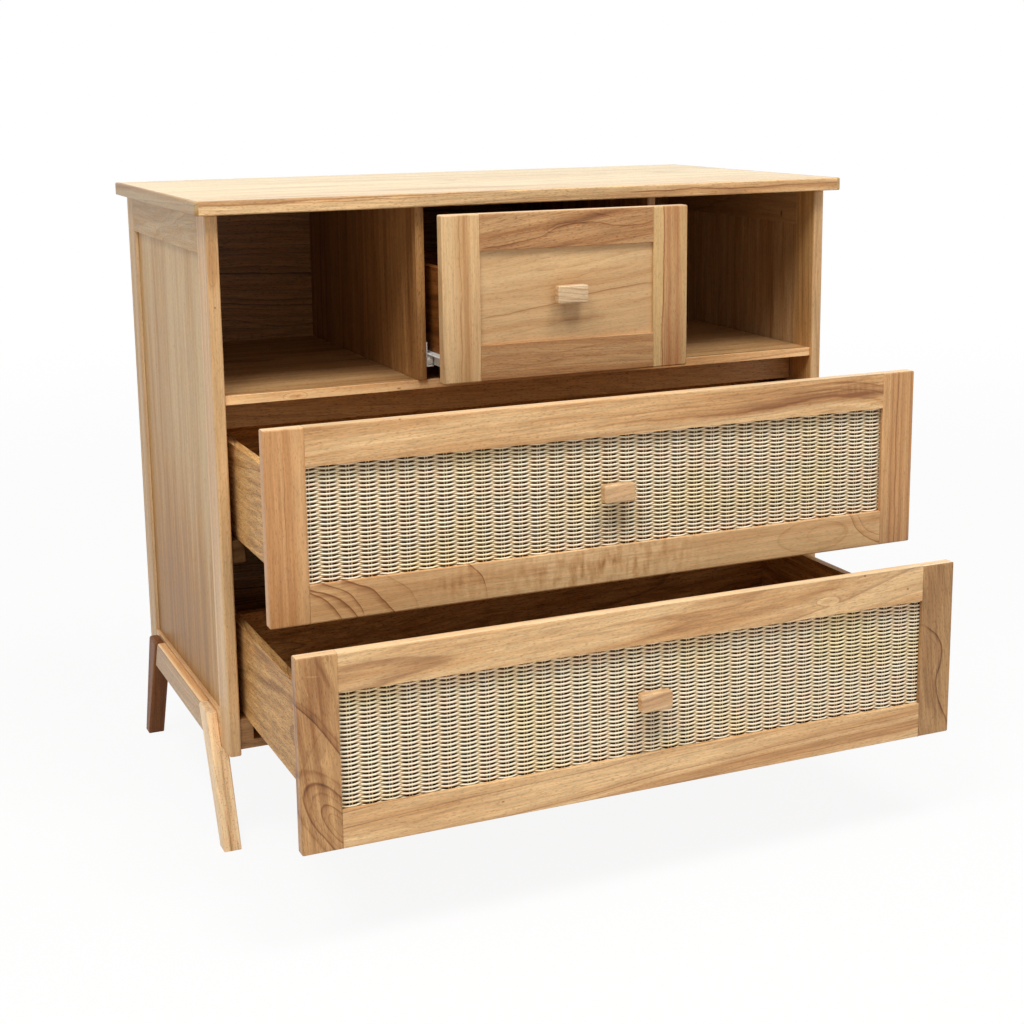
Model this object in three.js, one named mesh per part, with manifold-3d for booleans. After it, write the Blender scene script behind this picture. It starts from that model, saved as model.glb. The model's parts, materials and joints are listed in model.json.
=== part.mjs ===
// A commode chest on splayed legs: a frame-and-panel case with two open cubbies
// beside a small centre drawer, and two wide drawers with woven panels in their fronts.
// Millimetres. +X is to the right, +Y to the back and +Z up. The origin is on the
// floor, under the middle of the whole chest with its drawers standing open.
// The pieces are laid out from the front face of the case, at y = 0.
import * as THREE from 'three';
import { mergeVertices } from 'three/addons/utils/BufferGeometryUtils.js';
import { RoundedBoxGeometry } from 'three/addons/geometries/RoundedBoxGeometry.js';
import Module from 'manifold-3d';

const wasm = await Module();
wasm.setup();

// Case
const caseWidth = 917;
const caseDepth = 490;
const caseHeight = 720;
const floorClearance = 130;

// Fits: pieces that meet keep the seat gap, and cutters run past what they cut
const seatGap = 0.2;
const overrun = 1;

// Top board
const topThickness = 18;
const topSideOverhang = 16.5;
const topFrontOverhang = 17;
const topEdgeRadius = 2;

// Side frames
const stileThickness = 16;
const frontStileWidth = 48;
const backStileWidth = 44;
const topRailHeight = 52;
const bottomRailHeight = 49;
const sidePanelThickness = 9;
const sidePanelRecess = 5;
const sideGrooveDepth = 6;

// Stub tenons that join every rail to its stiles
const tenonLength = 20;
const tenonThickness = 6;
const tenonShoulder = 10;

// Shelf under the cubbies, with the stiffening rail below it
const shelfRise = 488;
const shelfThickness = 12;
const shelfSetback = 4;
const shelfRailHeight = 41.5;
const shelfRailThickness = 14;
const shelfRailSetback = 60;

// Partitions, back and bottom
const centreBayWidth = 334;
const partitionThickness = 12;
const backPanelThickness = 8;
const backPanelInset = 4;
const bottomBoardThickness = 12;
const bottomBoardRise = 8;

// Wooden bearers that the wide drawers slide on
const bearerWidth = 18;
const bearerHeight = 30;
const bearerEndGap = 4;
const slidingGap = 0.3;

// Leg frames
const legThickness = 24;
const legProud = 15;
const legOverlap = 46;
const legFootLength = 26;
const legFootReach = 5;
const legHeadSetback = 64;
const legHeadLength = 46;
const legRearReach = 10;
const legRailHeight = 41.5;
const legRailRecess = 2;
const legJointGap = 0.3;

// Drawer fronts
const frontThickness = 16;
const frontClosedGap = 0.5;
const frontGap = 5;
const wideStileWidth = 50;
const smallStileWidth = 52;
const frontRailHeight = 48;
const shelfReveal = 2;
const smallFrontBottomGap = 8;
const smallFrontTopGap = 5.5;
const smallFrontSideReveal = 0.5;

// Woven panel and backing board, let into a rabbet from behind
const lipDepth = 5.5;
const rabbetWidth = 8;
const backingThickness = 3;
const panelEdgeGap = 0.5;

// The weave: reeds that pass in front of one pair of stakes and behind the next
const stakePitch = 25;
const reedThickness = 2.6;
const middleFirstPair = -3.8;
const bottomFirstPair = 5;

// Solid panel of the small front, held in grooves
const smallPanelThickness = 7;
const smallPanelRecess = 4.5;
const smallGrooveDepth = 6;

// Drawer boxes
const boxSideThickness = 12;
const boxBackThickness = 12;
const boxBackDrop = 9;
const boxBaseThickness = 5;
const boxBaseGroove = 5;
const boxBaseRise = 8;
const wideBoxSideGap = 9.5;
const wideBoxTopGap = 12.5;
const wideBoxLength = 420;
const wideBoxRise = 50.5;
const smallBoxSideGap = 12.5;
const smallBoxTopGap = 75;
const smallBoxLength = 380;
const smallBoxRise = 28;

// Knobs
const knobWidth = 44;
const knobHeight = 24;
const knobBlockDepth = 13;
const knobEdgeRadius = 3;
const knobNeckDepth = 7;
const knobNeckWidth = 26;
const knobNeckHeight = 14;
const knobNeckFlareShare = 1.2;
const knobTenonRadius = 4.5;
const knobTenonLength = 8.5;
const knobHoleGap = 0.3;

// Roller runners of the small drawer
const runnerSheet = 1.5;
const cabinetRunnerHeight = 33.5;
const cabinetFlangeWidth = 10.5;
const cabinetRunnerSetback = 1;
const cabinetRunnerLength = 379;
const drawerFlangeEndGap = 0.8;
const drawerWebDrop = 15;
const rollerRadius = 7.5;
const rollerEndGap = 2.6;
const rollerInset = 8;

// How far each drawer stands open
const smallOpening = 78;
const middleOpening = 214;
const bottomOpening = 315;

// Facet counts
const roundSegments = 20;
const edgeSegments = 2;
const weaveSegments = 4;

// Places that several pieces share
const caseHalf = caseWidth / 2;
const innerHalf = caseHalf - stileThickness;
const caseBottom = floorClearance;
const caseTop = caseBottom + caseHeight;
const shelfTop = caseBottom + shelfRise;
const shelfBottom = shelfTop - shelfThickness;
const innerBack = caseDepth - backPanelInset - backPanelThickness;
const bottomBoardBottom = caseBottom + bottomBoardRise;
const bottomBoardTop = bottomBoardBottom + bottomBoardThickness;
const bayHalf = centreBayWidth / 2;
const wideFrontHeight = (shelfRise - shelfReveal - frontGap) / 2;
const bottomFrontFoot = caseBottom;
const middleFrontFoot = bottomFrontFoot + wideFrontHeight + frontGap;
const smallFrontFoot = shelfTop + smallFrontBottomGap;
const smallFrontHeight = caseTop - smallFrontTopGap - smallFrontFoot;
const smallFrontHalf = bayHalf + partitionThickness - smallFrontSideReveal;
const rabbetDepth = frontThickness - lipDepth;
const wideBoxHalf = innerHalf - wideBoxSideGap;
const smallBoxHalf = bayHalf - smallBoxSideGap;
const smallBoxHeight = smallFrontHeight - smallBoxRise - smallBoxTopGap;
const wideBoxTop = shelfBottom - shelfRailHeight - wideBoxTopGap;
const wideBoxHeight = wideBoxTop - middleFrontFoot - wideBoxRise;

// Colours and finish
const finishes = {
  frameWood: { color: 0xd9b98a, roughness: 0.55, metalness: 0 },
  panelWood: { color: 0xcdaa79, roughness: 0.6, metalness: 0 },
  innerWood: { color: 0xa9804f, roughness: 0.7, metalness: 0 },
  boxWood: { color: 0xdcc49a, roughness: 0.7, metalness: 0 },
  woven: { color: 0xe2cfa8, roughness: 0.8, metalness: 0 },
  backing: { color: 0x6b4c2e, roughness: 0.85, metalness: 0 },
  knobWood: { color: 0xd2ad78, roughness: 0.5, metalness: 0 },
  whiteSteel: { color: 0xeeeeea, roughness: 0.4, metalness: 0.1 },
};

// A box between two opposite corners
function block(from, to) {
  const size = to.map((value, axis) => Math.abs(value - from[axis]));
  const middle = to.map((value, axis) => (value + from[axis]) / 2);
  return new THREE.BoxGeometry(...size).translate(...middle);
}

// A round bar along X or Y, centred on a point
function roundBar(radius, length, alongX, middle) {
  const bar = new THREE.CylinderGeometry(radius, radius, length, roundSegments);
  if (alongX) bar.rotateZ(Math.PI / 2);
  return bar.translate(...middle);
}

// A flat plate whose outline is drawn in Y and Z, from one X to another
function sidePlate(outline, fromX, toX) {
  const shape = new THREE.Shape(outline.map(([y, z]) => new THREE.Vector2(y, z)));
  const depth = Math.abs(toX - fromX);
  const plate = new THREE.ExtrudeGeometry(shape, { depth, bevelEnabled: false });
  const basis = new THREE.Matrix4().makeBasis(
    new THREE.Vector3(0, 1, 0),
    new THREE.Vector3(0, 0, 1),
    new THREE.Vector3(1, 0, 0),
  );
  return plate.applyMatrix4(basis).translate(Math.min(fromX, toX), 0, 0);
}

function toSolid(geometry) {
  const bare = new THREE.BufferGeometry();
  bare.setAttribute('position', geometry.getAttribute('position'));
  bare.setIndex(geometry.getIndex());
  const merged = mergeVertices(bare);
  return new wasm.Manifold(new wasm.Mesh({
    numProp: 3,
    vertProperties: merged.getAttribute('position').array,
    triVerts: new Uint32Array(merged.getIndex().array),
  }));
}

function toGeometry(solid) {
  const { vertProperties, triVerts } = solid.getMesh();
  const shared = new THREE.BufferGeometry();
  shared.setAttribute('position', new THREE.BufferAttribute(vertProperties, 3));
  shared.setIndex(new THREE.BufferAttribute(triVerts, 1));
  const flat = shared.toNonIndexed();
  flat.computeVertexNormals();
  return flat;
}

function cut(geometry, ...cutters) {
  return toGeometry(cutters.reduce((solid, cutter) => solid.subtract(toSolid(cutter)), toSolid(geometry)));
}

function join(geometry, ...others) {
  return toGeometry(others.reduce((solid, other) => solid.add(toSolid(other)), toSolid(geometry)));
}

// A named mesh, placed by its own middle
function piece(name, geometry, finish) {
  geometry.computeBoundingBox();
  const middle = geometry.boundingBox.getCenter(new THREE.Vector3());
  geometry.translate(-middle.x, -middle.y, -middle.z);
  const mesh = new THREE.Mesh(geometry, new THREE.MeshStandardMaterial(finish));
  mesh.name = name;
  mesh.position.copy(middle);
  return mesh;
}

function handOf(side) {
  return side < 0 ? 'left' : 'right';
}

function topBoard() {
  const width = caseWidth + 2 * topSideOverhang;
  const depth = caseDepth + topFrontOverhang;
  const board = new RoundedBoxGeometry(width, depth, topThickness, edgeSegments, topEdgeRadius);
  const middleY = (caseDepth - topFrontOverhang) / 2;
  board.translate(0, middleY, caseTop + seatGap + topThickness / 2);
  return piece('top_board', board, finishes.frameWood);
}

// A side frame: two stiles, two rails and a panel that floats in their grooves
function sideStile(side, name, frontY, backY, towardPanel) {
  const outer = side * caseHalf;
  const inner = side * innerHalf;
  const edge = towardPanel > 0 ? backY : frontY;
  const middle = side * (caseHalf - stileThickness / 2);
  const groove = block(
    [side * (caseHalf - sidePanelRecess + seatGap), edge - towardPanel * sideGrooveDepth,
      caseBottom + bottomRailHeight - sideGrooveDepth],
    [side * (caseHalf - sidePanelRecess - sidePanelThickness - seatGap), edge + towardPanel * overrun,
      caseTop - topRailHeight + sideGrooveDepth],
  );
  const mortises = [
    [caseBottom, bottomRailHeight],
    [caseTop - topRailHeight, topRailHeight],
  ].map(([foot, height]) => block(
    [middle - tenonThickness / 2 - seatGap, edge - towardPanel * (tenonLength + seatGap),
      foot + tenonShoulder - seatGap],
    [middle + tenonThickness / 2 + seatGap, edge + towardPanel * overrun,
      foot + height - tenonShoulder + seatGap],
  ));
  const stile = block([outer, frontY, caseBottom], [inner, backY, caseTop]);
  return piece(name, cut(stile, groove, ...mortises), finishes.frameWood);
}

function sideRail(side, name, foot, height, grooveUp) {
  const front = frontStileWidth;
  const back = caseDepth - backStileWidth;
  const middle = side * (caseHalf - stileThickness / 2);
  const edge = grooveUp ? foot + height : foot;
  const into = grooveUp ? 1 : -1;
  const body = block(
    [side * caseHalf, front + seatGap, foot],
    [side * innerHalf, back - seatGap, foot + height],
  );
  const tenons = block(
    [middle - tenonThickness / 2, front - tenonLength, foot + tenonShoulder],
    [middle + tenonThickness / 2, back + tenonLength, foot + height - tenonShoulder],
  );
  const groove = block(
    [side * (caseHalf - sidePanelRecess + seatGap), front - tenonLength, edge - into * sideGrooveDepth],
    [side * (caseHalf - sidePanelRecess - sidePanelThickness - seatGap), back + tenonLength,
      edge + into * overrun],
  );
  return piece(name, cut(join(body, tenons), groove), finishes.frameWood);
}

function sidePanel(side, name) {
  const tongue = sideGrooveDepth - panelEdgeGap;
  return piece(name, block(
    [side * (caseHalf - sidePanelRecess), frontStileWidth - tongue,
      caseBottom + bottomRailHeight - tongue],
    [side * (caseHalf - sidePanelRecess - sidePanelThickness), caseDepth - backStileWidth + tongue,
      caseTop - topRailHeight + tongue],
  ), finishes.panelWood);
}

function sideFrame(side) {
  const hand = handOf(side);
  const frame = new THREE.Group();
  frame.add(
    sideStile(side, `${hand}_front_stile`, 0, frontStileWidth, 1),
    sideStile(side, `${hand}_back_stile`, caseDepth - backStileWidth, caseDepth, -1),
    sideRail(side, `${hand}_top_rail`, caseTop - topRailHeight, topRailHeight, false),
    sideRail(side, `${hand}_bottom_rail`, caseBottom, bottomRailHeight, true),
    sidePanel(side, `${hand}_side_panel`),
  );
  return frame;
}

// The shelf and the rail glued under it
function cubbyShelf() {
  const half = innerHalf - seatGap;
  const shelf = block([-half, shelfSetback, shelfBottom], [half, innerBack, shelfTop]);
  const rail = block(
    [-half, shelfRailSetback, shelfBottom - shelfRailHeight],
    [half, shelfRailSetback + shelfRailThickness, shelfBottom + shelfThickness / 2],
  );
  return piece('cubby_shelf', join(shelf, rail), finishes.innerWood);
}

function partition(side) {
  return piece(`${handOf(side)}_partition`, block(
    [side * bayHalf, 0, shelfTop + seatGap],
    [side * (bayHalf + partitionThickness), innerBack, caseTop],
  ), finishes.innerWood);
}

function backPanel() {
  const half = innerHalf - seatGap;
  return piece('back_panel', block(
    [-half, innerBack + seatGap, bottomBoardBottom],
    [half, innerBack + backPanelThickness, caseTop],
  ), finishes.innerWood);
}

// The bottom board and the two bearers glued on it for the lowest drawer
function bottomBoard() {
  const half = innerHalf - seatGap;
  const board = block([-half, shelfSetback, bottomBoardBottom], [half, innerBack, bottomBoardTop]);
  const bearers = [-1, 1].map((side) => block(
    [side * half, bearerEndGap, bottomBoardBottom],
    [side * (innerHalf - bearerWidth), innerBack - bearerEndGap, bottomFrontFoot + wideBoxRise - slidingGap],
  ));
  return piece('bottom_board', join(board, ...bearers), finishes.innerWood);
}

function middleBearer(side) {
  const top = middleFrontFoot + wideBoxRise - slidingGap;
  return piece(`${handOf(side)}_middle_bearer`, block(
    [side * (innerHalf - seatGap), bearerEndGap, top - bearerHeight],
    [side * (innerHalf - bearerWidth), innerBack - bearerEndGap, top],
  ), finishes.innerWood);
}

// A leg frame stands proud of the case, and its legs reach under the case to carry it
const legFrameTop = floorClearance + legOverlap;
const legOuter = caseHalf + legProud;
const legFrontShare = (legHeadSetback + legFootReach) / legFrameTop;
const legRearShare = (legHeadSetback + legHeadLength + legFootReach - legFootLength) / legFrameTop;
const rearFoot = caseDepth + legRearReach;

function legOutline(fromEnd) {
  return [
    [fromEnd(-legFootReach), 0],
    [fromEnd(-legFootReach + legFootLength), 0],
    [fromEnd(-legFootReach + legFootLength + legRearShare * legFrameTop), legFrameTop],
    [fromEnd(-legFootReach + legFrontShare * legFrameTop), legFrameTop],
  ];
}

function leg(side, name, fromEnd) {
  const plate = sidePlate(legOutline(fromEnd), side * legOuter, side * (legOuter - legThickness));
  const notch = block(
    [side * (caseHalf + seatGap), -caseDepth, caseBottom - seatGap],
    [side * (legOuter - legThickness - overrun), 2 * caseDepth, legFrameTop + overrun],
  );
  return piece(name, cut(plate, notch), finishes.frameWood);
}

// Front legs are measured back from the case front, rear legs forward from the rear feet
function fromFront(y) {
  return y;
}

function fromRear(y) {
  return rearFoot - legFootReach - y;
}

function legRail(side, name) {
  const foot = legFrameTop - legRailHeight;
  const endAt = (z) => -legFootReach + legFootLength + legRearShare * z + legJointGap;
  const outline = [
    [fromFront(endAt(foot)), foot],
    [fromRear(endAt(foot)), foot],
    [fromRear(endAt(legFrameTop)), legFrameTop],
    [fromFront(endAt(legFrameTop)), legFrameTop],
  ];
  return piece(name, sidePlate(
    outline,
    side * (caseHalf + seatGap),
    side * (legOuter - legRailRecess),
  ), finishes.frameWood);
}

function legFrame(side) {
  const hand = handOf(side);
  const frame = new THREE.Group();
  frame.add(
    leg(side, `${hand}_front_leg`, fromFront),
    leg(side, `${hand}_back_leg`, fromRear),
    legRail(side, `${hand}_leg_rail`),
  );
  return frame;
}

// Drawer pieces are laid out from the back face of the drawer's front, at y = 0
function frontOf(half, height, stileWidth, woven) {
  return {
    half,
    height,
    openingHalf: half - stileWidth,
    // The hollow that holds the panel: how far it reaches past the opening, and its depth span
    reach: woven ? rabbetWidth : smallGrooveDepth,
    hollowFront: woven ? -rabbetDepth : -frontThickness + smallPanelRecess - seatGap,
    hollowBack: woven ? overrun : -frontThickness + smallPanelRecess + smallPanelThickness + seatGap,
  };
}

function frontStile(front, side, name) {
  const edge = side * front.openingHalf;
  const middleY = -frontThickness / 2;
  const hollow = block(
    [edge - side * overrun, front.hollowFront, frontRailHeight - front.reach],
    [edge + side * front.reach, front.hollowBack, front.height - frontRailHeight + front.reach],
  );
  const mortises = [0, front.height - frontRailHeight].map((foot) => block(
    [edge - side * overrun, middleY - tenonThickness / 2 - seatGap, foot + tenonShoulder - seatGap],
    [edge + side * (tenonLength + seatGap), middleY + tenonThickness / 2 + seatGap,
      foot + frontRailHeight - tenonShoulder + seatGap],
  ));
  const stile = block([side * front.half, -frontThickness, 0], [edge, 0, front.height]);
  return piece(name, cut(stile, hollow, ...mortises), finishes.frameWood);
}

function frontRail(front, name, foot, hollowUp) {
  const half = front.openingHalf;
  const middleY = -frontThickness / 2;
  const edge = hollowUp ? foot + frontRailHeight : foot;
  const into = hollowUp ? 1 : -1;
  const body = block([-half + seatGap, -frontThickness, foot], [half - seatGap, 0, foot + frontRailHeight]);
  const tenons = block(
    [-half - tenonLength, middleY - tenonThickness / 2, foot + tenonShoulder],
    [half + tenonLength, middleY + tenonThickness / 2, foot + frontRailHeight - tenonShoulder],
  );
  const hollow = block(
    [-half - tenonLength, front.hollowFront, edge - into * front.reach],
    [half + tenonLength, front.hollowBack, edge + into * overrun],
  );
  return piece(name, cut(join(body, tenons), hollow), finishes.frameWood);
}

// The hole through a panel for the knob's tenon
function knobHole(front) {
  return roundBar(
    knobTenonRadius + knobHoleGap,
    2 * frontThickness,
    false,
    [0, -frontThickness / 2, front.height / 2],
  );
}

// How far a panel of a front reaches past the middle, and the height it starts at
function panelSpan(front) {
  return {
    half: front.openingHalf + front.reach - panelEdgeGap,
    foot: frontRailHeight - front.reach + panelEdgeGap,
  };
}

// A panel that fills the hollow round the opening
function frontPanel(front, name, frontY, backY, finish) {
  const { half, foot } = panelSpan(front);
  const panel = block([-half, frontY, foot], [half, backY, front.height - foot]);
  return piece(name, cut(panel, knobHole(front)), finish);
}

// A woven panel, as the outline of its reeds: full thickness over each pair of stakes,
// and one reed thick half way between two pairs, where the reeds cross
function wovenPanel(front, name, frontY, backY, firstPair) {
  const { half, foot } = panelSpan(front);
  const step = stakePitch / weaveSegments;
  const first = Math.ceil((seatGap - half - firstPair) / step);
  const last = Math.floor((half - seatGap - firstPair) / step);
  const stations = [-half];
  for (let count = first; count <= last; count += 1) stations.push(firstPair + count * step);
  stations.push(half);
  const reach = (x) => {
    const swing = Math.abs(Math.cos((Math.PI * (x - firstPair)) / stakePitch));
    return (reedThickness + (backY - frontY - reedThickness) * swing) / 2;
  };
  const outline = [
    ...stations.map((x) => new THREE.Vector2(x, -reach(x))),
    ...stations.map((x) => new THREE.Vector2(x, reach(x))).reverse(),
  ];
  const panel = new THREE.ExtrudeGeometry(
    new THREE.Shape(outline),
    { depth: front.height - 2 * foot, bevelEnabled: false },
  );
  panel.translate(0, (frontY + backY) / 2, foot);
  return piece(name, cut(panel, knobHole(front)), finishes.woven);
}

// A knob: a rounded block on a neck that flares a little, and a round tenon
function knob(front, name, seatY) {
  const neck = new THREE.BoxGeometry(knobNeckWidth, knobNeckDepth, knobNeckHeight);
  const corners = neck.getAttribute('position');
  for (let corner = 0; corner < corners.count; corner += 1) {
    if (corners.getY(corner) > 0) continue;
    corners.setX(corner, corners.getX(corner) * knobNeckFlareShare);
    corners.setZ(corner, corners.getZ(corner) * knobNeckFlareShare);
  }
  neck.translate(0, seatY - knobNeckDepth / 2, front.height / 2);
  const face = new RoundedBoxGeometry(knobWidth, knobBlockDepth, knobHeight, edgeSegments, knobEdgeRadius);
  face.translate(0, seatY - knobNeckDepth - knobBlockDepth / 2, front.height / 2);
  const tenon = roundBar(
    knobTenonRadius,
    knobTenonLength + knobNeckDepth,
    false,
    [0, seatY + (knobTenonLength - knobNeckDepth) / 2, front.height / 2],
  );
  return piece(name, join(face, neck, tenon), finishes.knobWood);
}

// A drawer box: grooved sides, a back between them and a thin base in the grooves
function boxSide(box, side, name) {
  const outer = side * box.half;
  const inner = side * (box.half - boxSideThickness);
  const board = block([outer, seatGap, box.rise], [inner, box.length, box.rise + box.height]);
  const groove = block(
    [inner - side * overrun, -overrun, box.rise + boxBaseRise - seatGap],
    [inner + side * (boxBaseGroove + seatGap), box.length + overrun,
      box.rise + boxBaseRise + boxBaseThickness + seatGap],
  );
  return piece(name, cut(board, groove), finishes.boxWood);
}

function boxBack(box, name) {
  const half = box.half - boxSideThickness - seatGap;
  return piece(name, block(
    [-half, box.length - boxBackThickness, box.rise + boxBaseRise + boxBaseThickness + seatGap],
    [half, box.length, box.rise + box.height - boxBackDrop],
  ), finishes.boxWood);
}

function boxBase(box, name) {
  const half = box.half - boxSideThickness + boxBaseGroove;
  return piece(name, block(
    [-half, seatGap, box.rise + boxBaseRise],
    [half, box.length, box.rise + boxBaseRise + boxBaseThickness],
  ), finishes.boxWood);
}

function drawerGroup(name, front, box, foot, opening) {
  const drawer = new THREE.Group();
  drawer.position.set(0, -frontClosedGap - opening, foot);
  drawer.add(
    frontStile(front, -1, `${name}_left_stile`),
    frontStile(front, 1, `${name}_right_stile`),
    frontRail(front, `${name}_top_rail`, front.height - frontRailHeight, false),
    frontRail(front, `${name}_bottom_rail`, 0, true),
    boxSide(box, -1, `${name}_left_side`),
    boxSide(box, 1, `${name}_right_side`),
    boxBack(box, `${name}_back`),
    boxBase(box, `${name}_base`),
  );
  return drawer;
}

function wideDrawer(name, foot, opening, firstPair) {
  const front = frontOf(caseHalf, wideFrontHeight, wideStileWidth, true);
  const box = { half: wideBoxHalf, height: wideBoxHeight, length: wideBoxLength, rise: wideBoxRise };
  const drawer = drawerGroup(name, front, box, foot, opening);
  const wovenFace = -rabbetDepth + seatGap;
  drawer.add(
    wovenPanel(front, `${name}_woven_panel`, wovenFace, -backingThickness - seatGap, firstPair),
    frontPanel(front, `${name}_backing`, -backingThickness, 0, finishes.backing),
    knob(front, `${name}_knob`, wovenFace - seatGap),
  );
  return drawer;
}

function smallDrawer(name, foot, opening) {
  const front = frontOf(smallFrontHalf, smallFrontHeight, smallStileWidth, false);
  const box = { half: smallBoxHalf, height: smallBoxHeight, length: smallBoxLength, rise: smallBoxRise };
  const drawer = drawerGroup(name, front, box, foot, opening);
  const panelFace = -frontThickness + smallPanelRecess;
  drawer.add(
    frontPanel(front, `${name}_panel`, panelFace, panelFace + smallPanelThickness, finishes.panelWood),
    knob(front, `${name}_knob`, panelFace - seatGap),
    drawerRunner(-1, `${name}_left_runner`),
    drawerRunner(1, `${name}_right_runner`),
  );
  return drawer;
}

// The runner under a side of the small box: a flange, a web and a roller at its rear end
const drawerFlangeBottom = smallBoxRise - seatGap - runnerSheet;
const runnerPlateInner = bayHalf - seatGap - runnerSheet;
const runnerWebOuter = smallBoxHalf + seatGap;
const rollerWidth = runnerPlateInner - runnerWebOuter - rollerEndGap;

function drawerRunner(side, name) {
  const flange = block(
    [side * (smallBoxHalf - boxSideThickness), seatGap, drawerFlangeBottom],
    [side * (runnerPlateInner - drawerFlangeEndGap), smallBoxLength, drawerFlangeBottom + runnerSheet],
  );
  const web = block(
    [side * (runnerWebOuter - runnerSheet), seatGap, drawerFlangeBottom - drawerWebDrop],
    [side * runnerWebOuter, smallBoxLength, drawerFlangeBottom + runnerSheet / 2],
  );
  const roller = roundBar(
    rollerRadius,
    rollerWidth + runnerSheet,
    true,
    [side * (runnerWebOuter - runnerSheet / 2 + rollerWidth / 2), smallBoxLength - rollerInset,
      drawerFlangeBottom - rollerRadius + runnerSheet / 4],
  );
  return piece(name, join(flange, web, roller), finishes.whiteSteel);
}

// The runner on a partition: a plate, a lower flange and a roller at its front end
function cabinetRunner(side) {
  const outer = runnerPlateInner + runnerSheet;
  const flangeTop = smallFrontFoot + drawerFlangeBottom - 2 * rollerRadius - slidingGap;
  const foot = flangeTop - runnerSheet;
  const back = cabinetRunnerSetback + cabinetRunnerLength;
  const plate = block(
    [side * outer, cabinetRunnerSetback, foot],
    [side * runnerPlateInner, back, foot + cabinetRunnerHeight],
  );
  const flange = block(
    [side * outer, cabinetRunnerSetback, foot],
    [side * (outer - cabinetFlangeWidth), back, flangeTop],
  );
  const roller = roundBar(
    rollerRadius,
    rollerWidth + runnerSheet,
    true,
    [side * (outer - (rollerWidth + runnerSheet) / 2), cabinetRunnerSetback + rollerInset,
      flangeTop + rollerRadius - runnerSheet / 4],
  );
  return piece(`${handOf(side)}_cabinet_runner`, join(plate, flange, roller), finishes.whiteSteel);
}

const chest = new THREE.Group();
for (const side of [-1, 1]) {
  chest.add(sideFrame(side), partition(side), middleBearer(side), cabinetRunner(side), legFrame(side));
}
chest.add(
  topBoard(),
  cubbyShelf(),
  backPanel(),
  bottomBoard(),
  smallDrawer('small_drawer', smallFrontFoot, smallOpening),
  wideDrawer('middle_drawer', middleFrontFoot, middleOpening, middleFirstPair),
  wideDrawer('bottom_drawer', bottomFrontFoot, bottomOpening, bottomFirstPair),
);

// The origin lies midway between the foremost knob and the rear feet
const knobProud = knobBlockDepth + knobNeckDepth - lipDepth;
const foremost = -frontClosedGap - bottomOpening - frontThickness - knobProud;
chest.position.y = -(foremost + rearFoot) / 2;

export default chest;
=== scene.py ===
"""The looks of a commode chest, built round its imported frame.

The chest is a frame-and-panel case with two open cubbies, a small centre drawer and two wide drawers
whose fronts hold woven rattan. Everything is in metres, +X to the right, +Y to the back and +Z up.
"""

from __future__ import annotations

import json
import logging
import math
import random
from dataclasses import dataclass, replace
from enum import Enum

import bmesh
import bpy
from mathutils import Matrix, Vector

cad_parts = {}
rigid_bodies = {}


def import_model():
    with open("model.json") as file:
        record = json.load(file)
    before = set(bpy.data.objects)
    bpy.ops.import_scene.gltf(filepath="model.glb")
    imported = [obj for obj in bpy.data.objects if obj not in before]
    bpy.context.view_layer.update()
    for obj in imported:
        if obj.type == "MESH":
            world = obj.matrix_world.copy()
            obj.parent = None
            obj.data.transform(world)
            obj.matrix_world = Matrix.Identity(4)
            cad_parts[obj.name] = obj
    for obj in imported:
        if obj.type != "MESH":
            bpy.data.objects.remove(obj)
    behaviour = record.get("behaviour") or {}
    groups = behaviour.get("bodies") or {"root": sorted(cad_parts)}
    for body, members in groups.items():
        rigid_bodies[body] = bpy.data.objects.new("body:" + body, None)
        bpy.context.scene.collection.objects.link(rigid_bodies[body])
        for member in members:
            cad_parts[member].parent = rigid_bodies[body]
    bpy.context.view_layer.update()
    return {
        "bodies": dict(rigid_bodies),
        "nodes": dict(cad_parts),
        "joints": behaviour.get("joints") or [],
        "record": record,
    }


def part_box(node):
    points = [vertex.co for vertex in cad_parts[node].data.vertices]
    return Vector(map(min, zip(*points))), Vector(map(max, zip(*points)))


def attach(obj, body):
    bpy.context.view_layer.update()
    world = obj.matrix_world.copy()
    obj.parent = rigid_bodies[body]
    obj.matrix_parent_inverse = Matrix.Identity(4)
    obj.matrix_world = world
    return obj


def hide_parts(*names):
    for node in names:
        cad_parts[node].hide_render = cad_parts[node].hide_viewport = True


LOG = logging.getLogger("commode_chest")
MM = 0.001
WHITE = (1.0, 1.0, 1.0, 1.0)
ALL_ALONG = 9.0

Colour = tuple[float, float, float]


class Axis(Enum):
    """A direction of the chest."""

    RIGHT = Vector((1.0, 0.0, 0.0))
    LEFT = Vector((-1.0, 0.0, 0.0))
    BACK = Vector((0.0, 1.0, 0.0))
    FRONT = Vector((0.0, -1.0, 0.0))
    UP = Vector((0.0, 0.0, 1.0))
    DOWN = Vector((0.0, 0.0, -1.0))


RIGHT, LEFT, BACK, FRONT, UP, DOWN = (axis.value for axis in Axis)


def linear(colour: Colour) -> tuple[float, float, float, float]:
    """Turns a display colour into a scene colour.

    Args:
        colour: Red, green and blue from 0 to 255.

    Returns:
        The colour as linear red, green, blue and an alpha of 1.
    """
    toe = 0.04045
    parts = [value / 255 for value in colour]
    bent = [value / 12.92 if value <= toe else ((value + 0.055) / 1.055) ** 2.4 for value in parts]
    return (*bent, 1.0)


def placed(name: str, data: bpy.types.ID) -> bpy.types.Object:
    """Puts some data in the scene as an object.

    Args:
        name: The object's name.
        data: Its mesh, camera or light.

    Returns:
        The object.
    """
    piece = bpy.data.objects.new(name, data)
    bpy.context.scene.collection.objects.link(piece)
    return piece


def object_of(name: str, shape: bmesh.types.BMesh) -> bpy.types.Object:
    """Makes an object of a shape.

    Args:
        name: The object's name.
        shape: The shape, which is used up.

    Returns:
        The object.
    """
    mesh = bpy.data.meshes.new(name)
    shape.to_mesh(mesh)
    shape.free()
    return placed(name, mesh)


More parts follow.
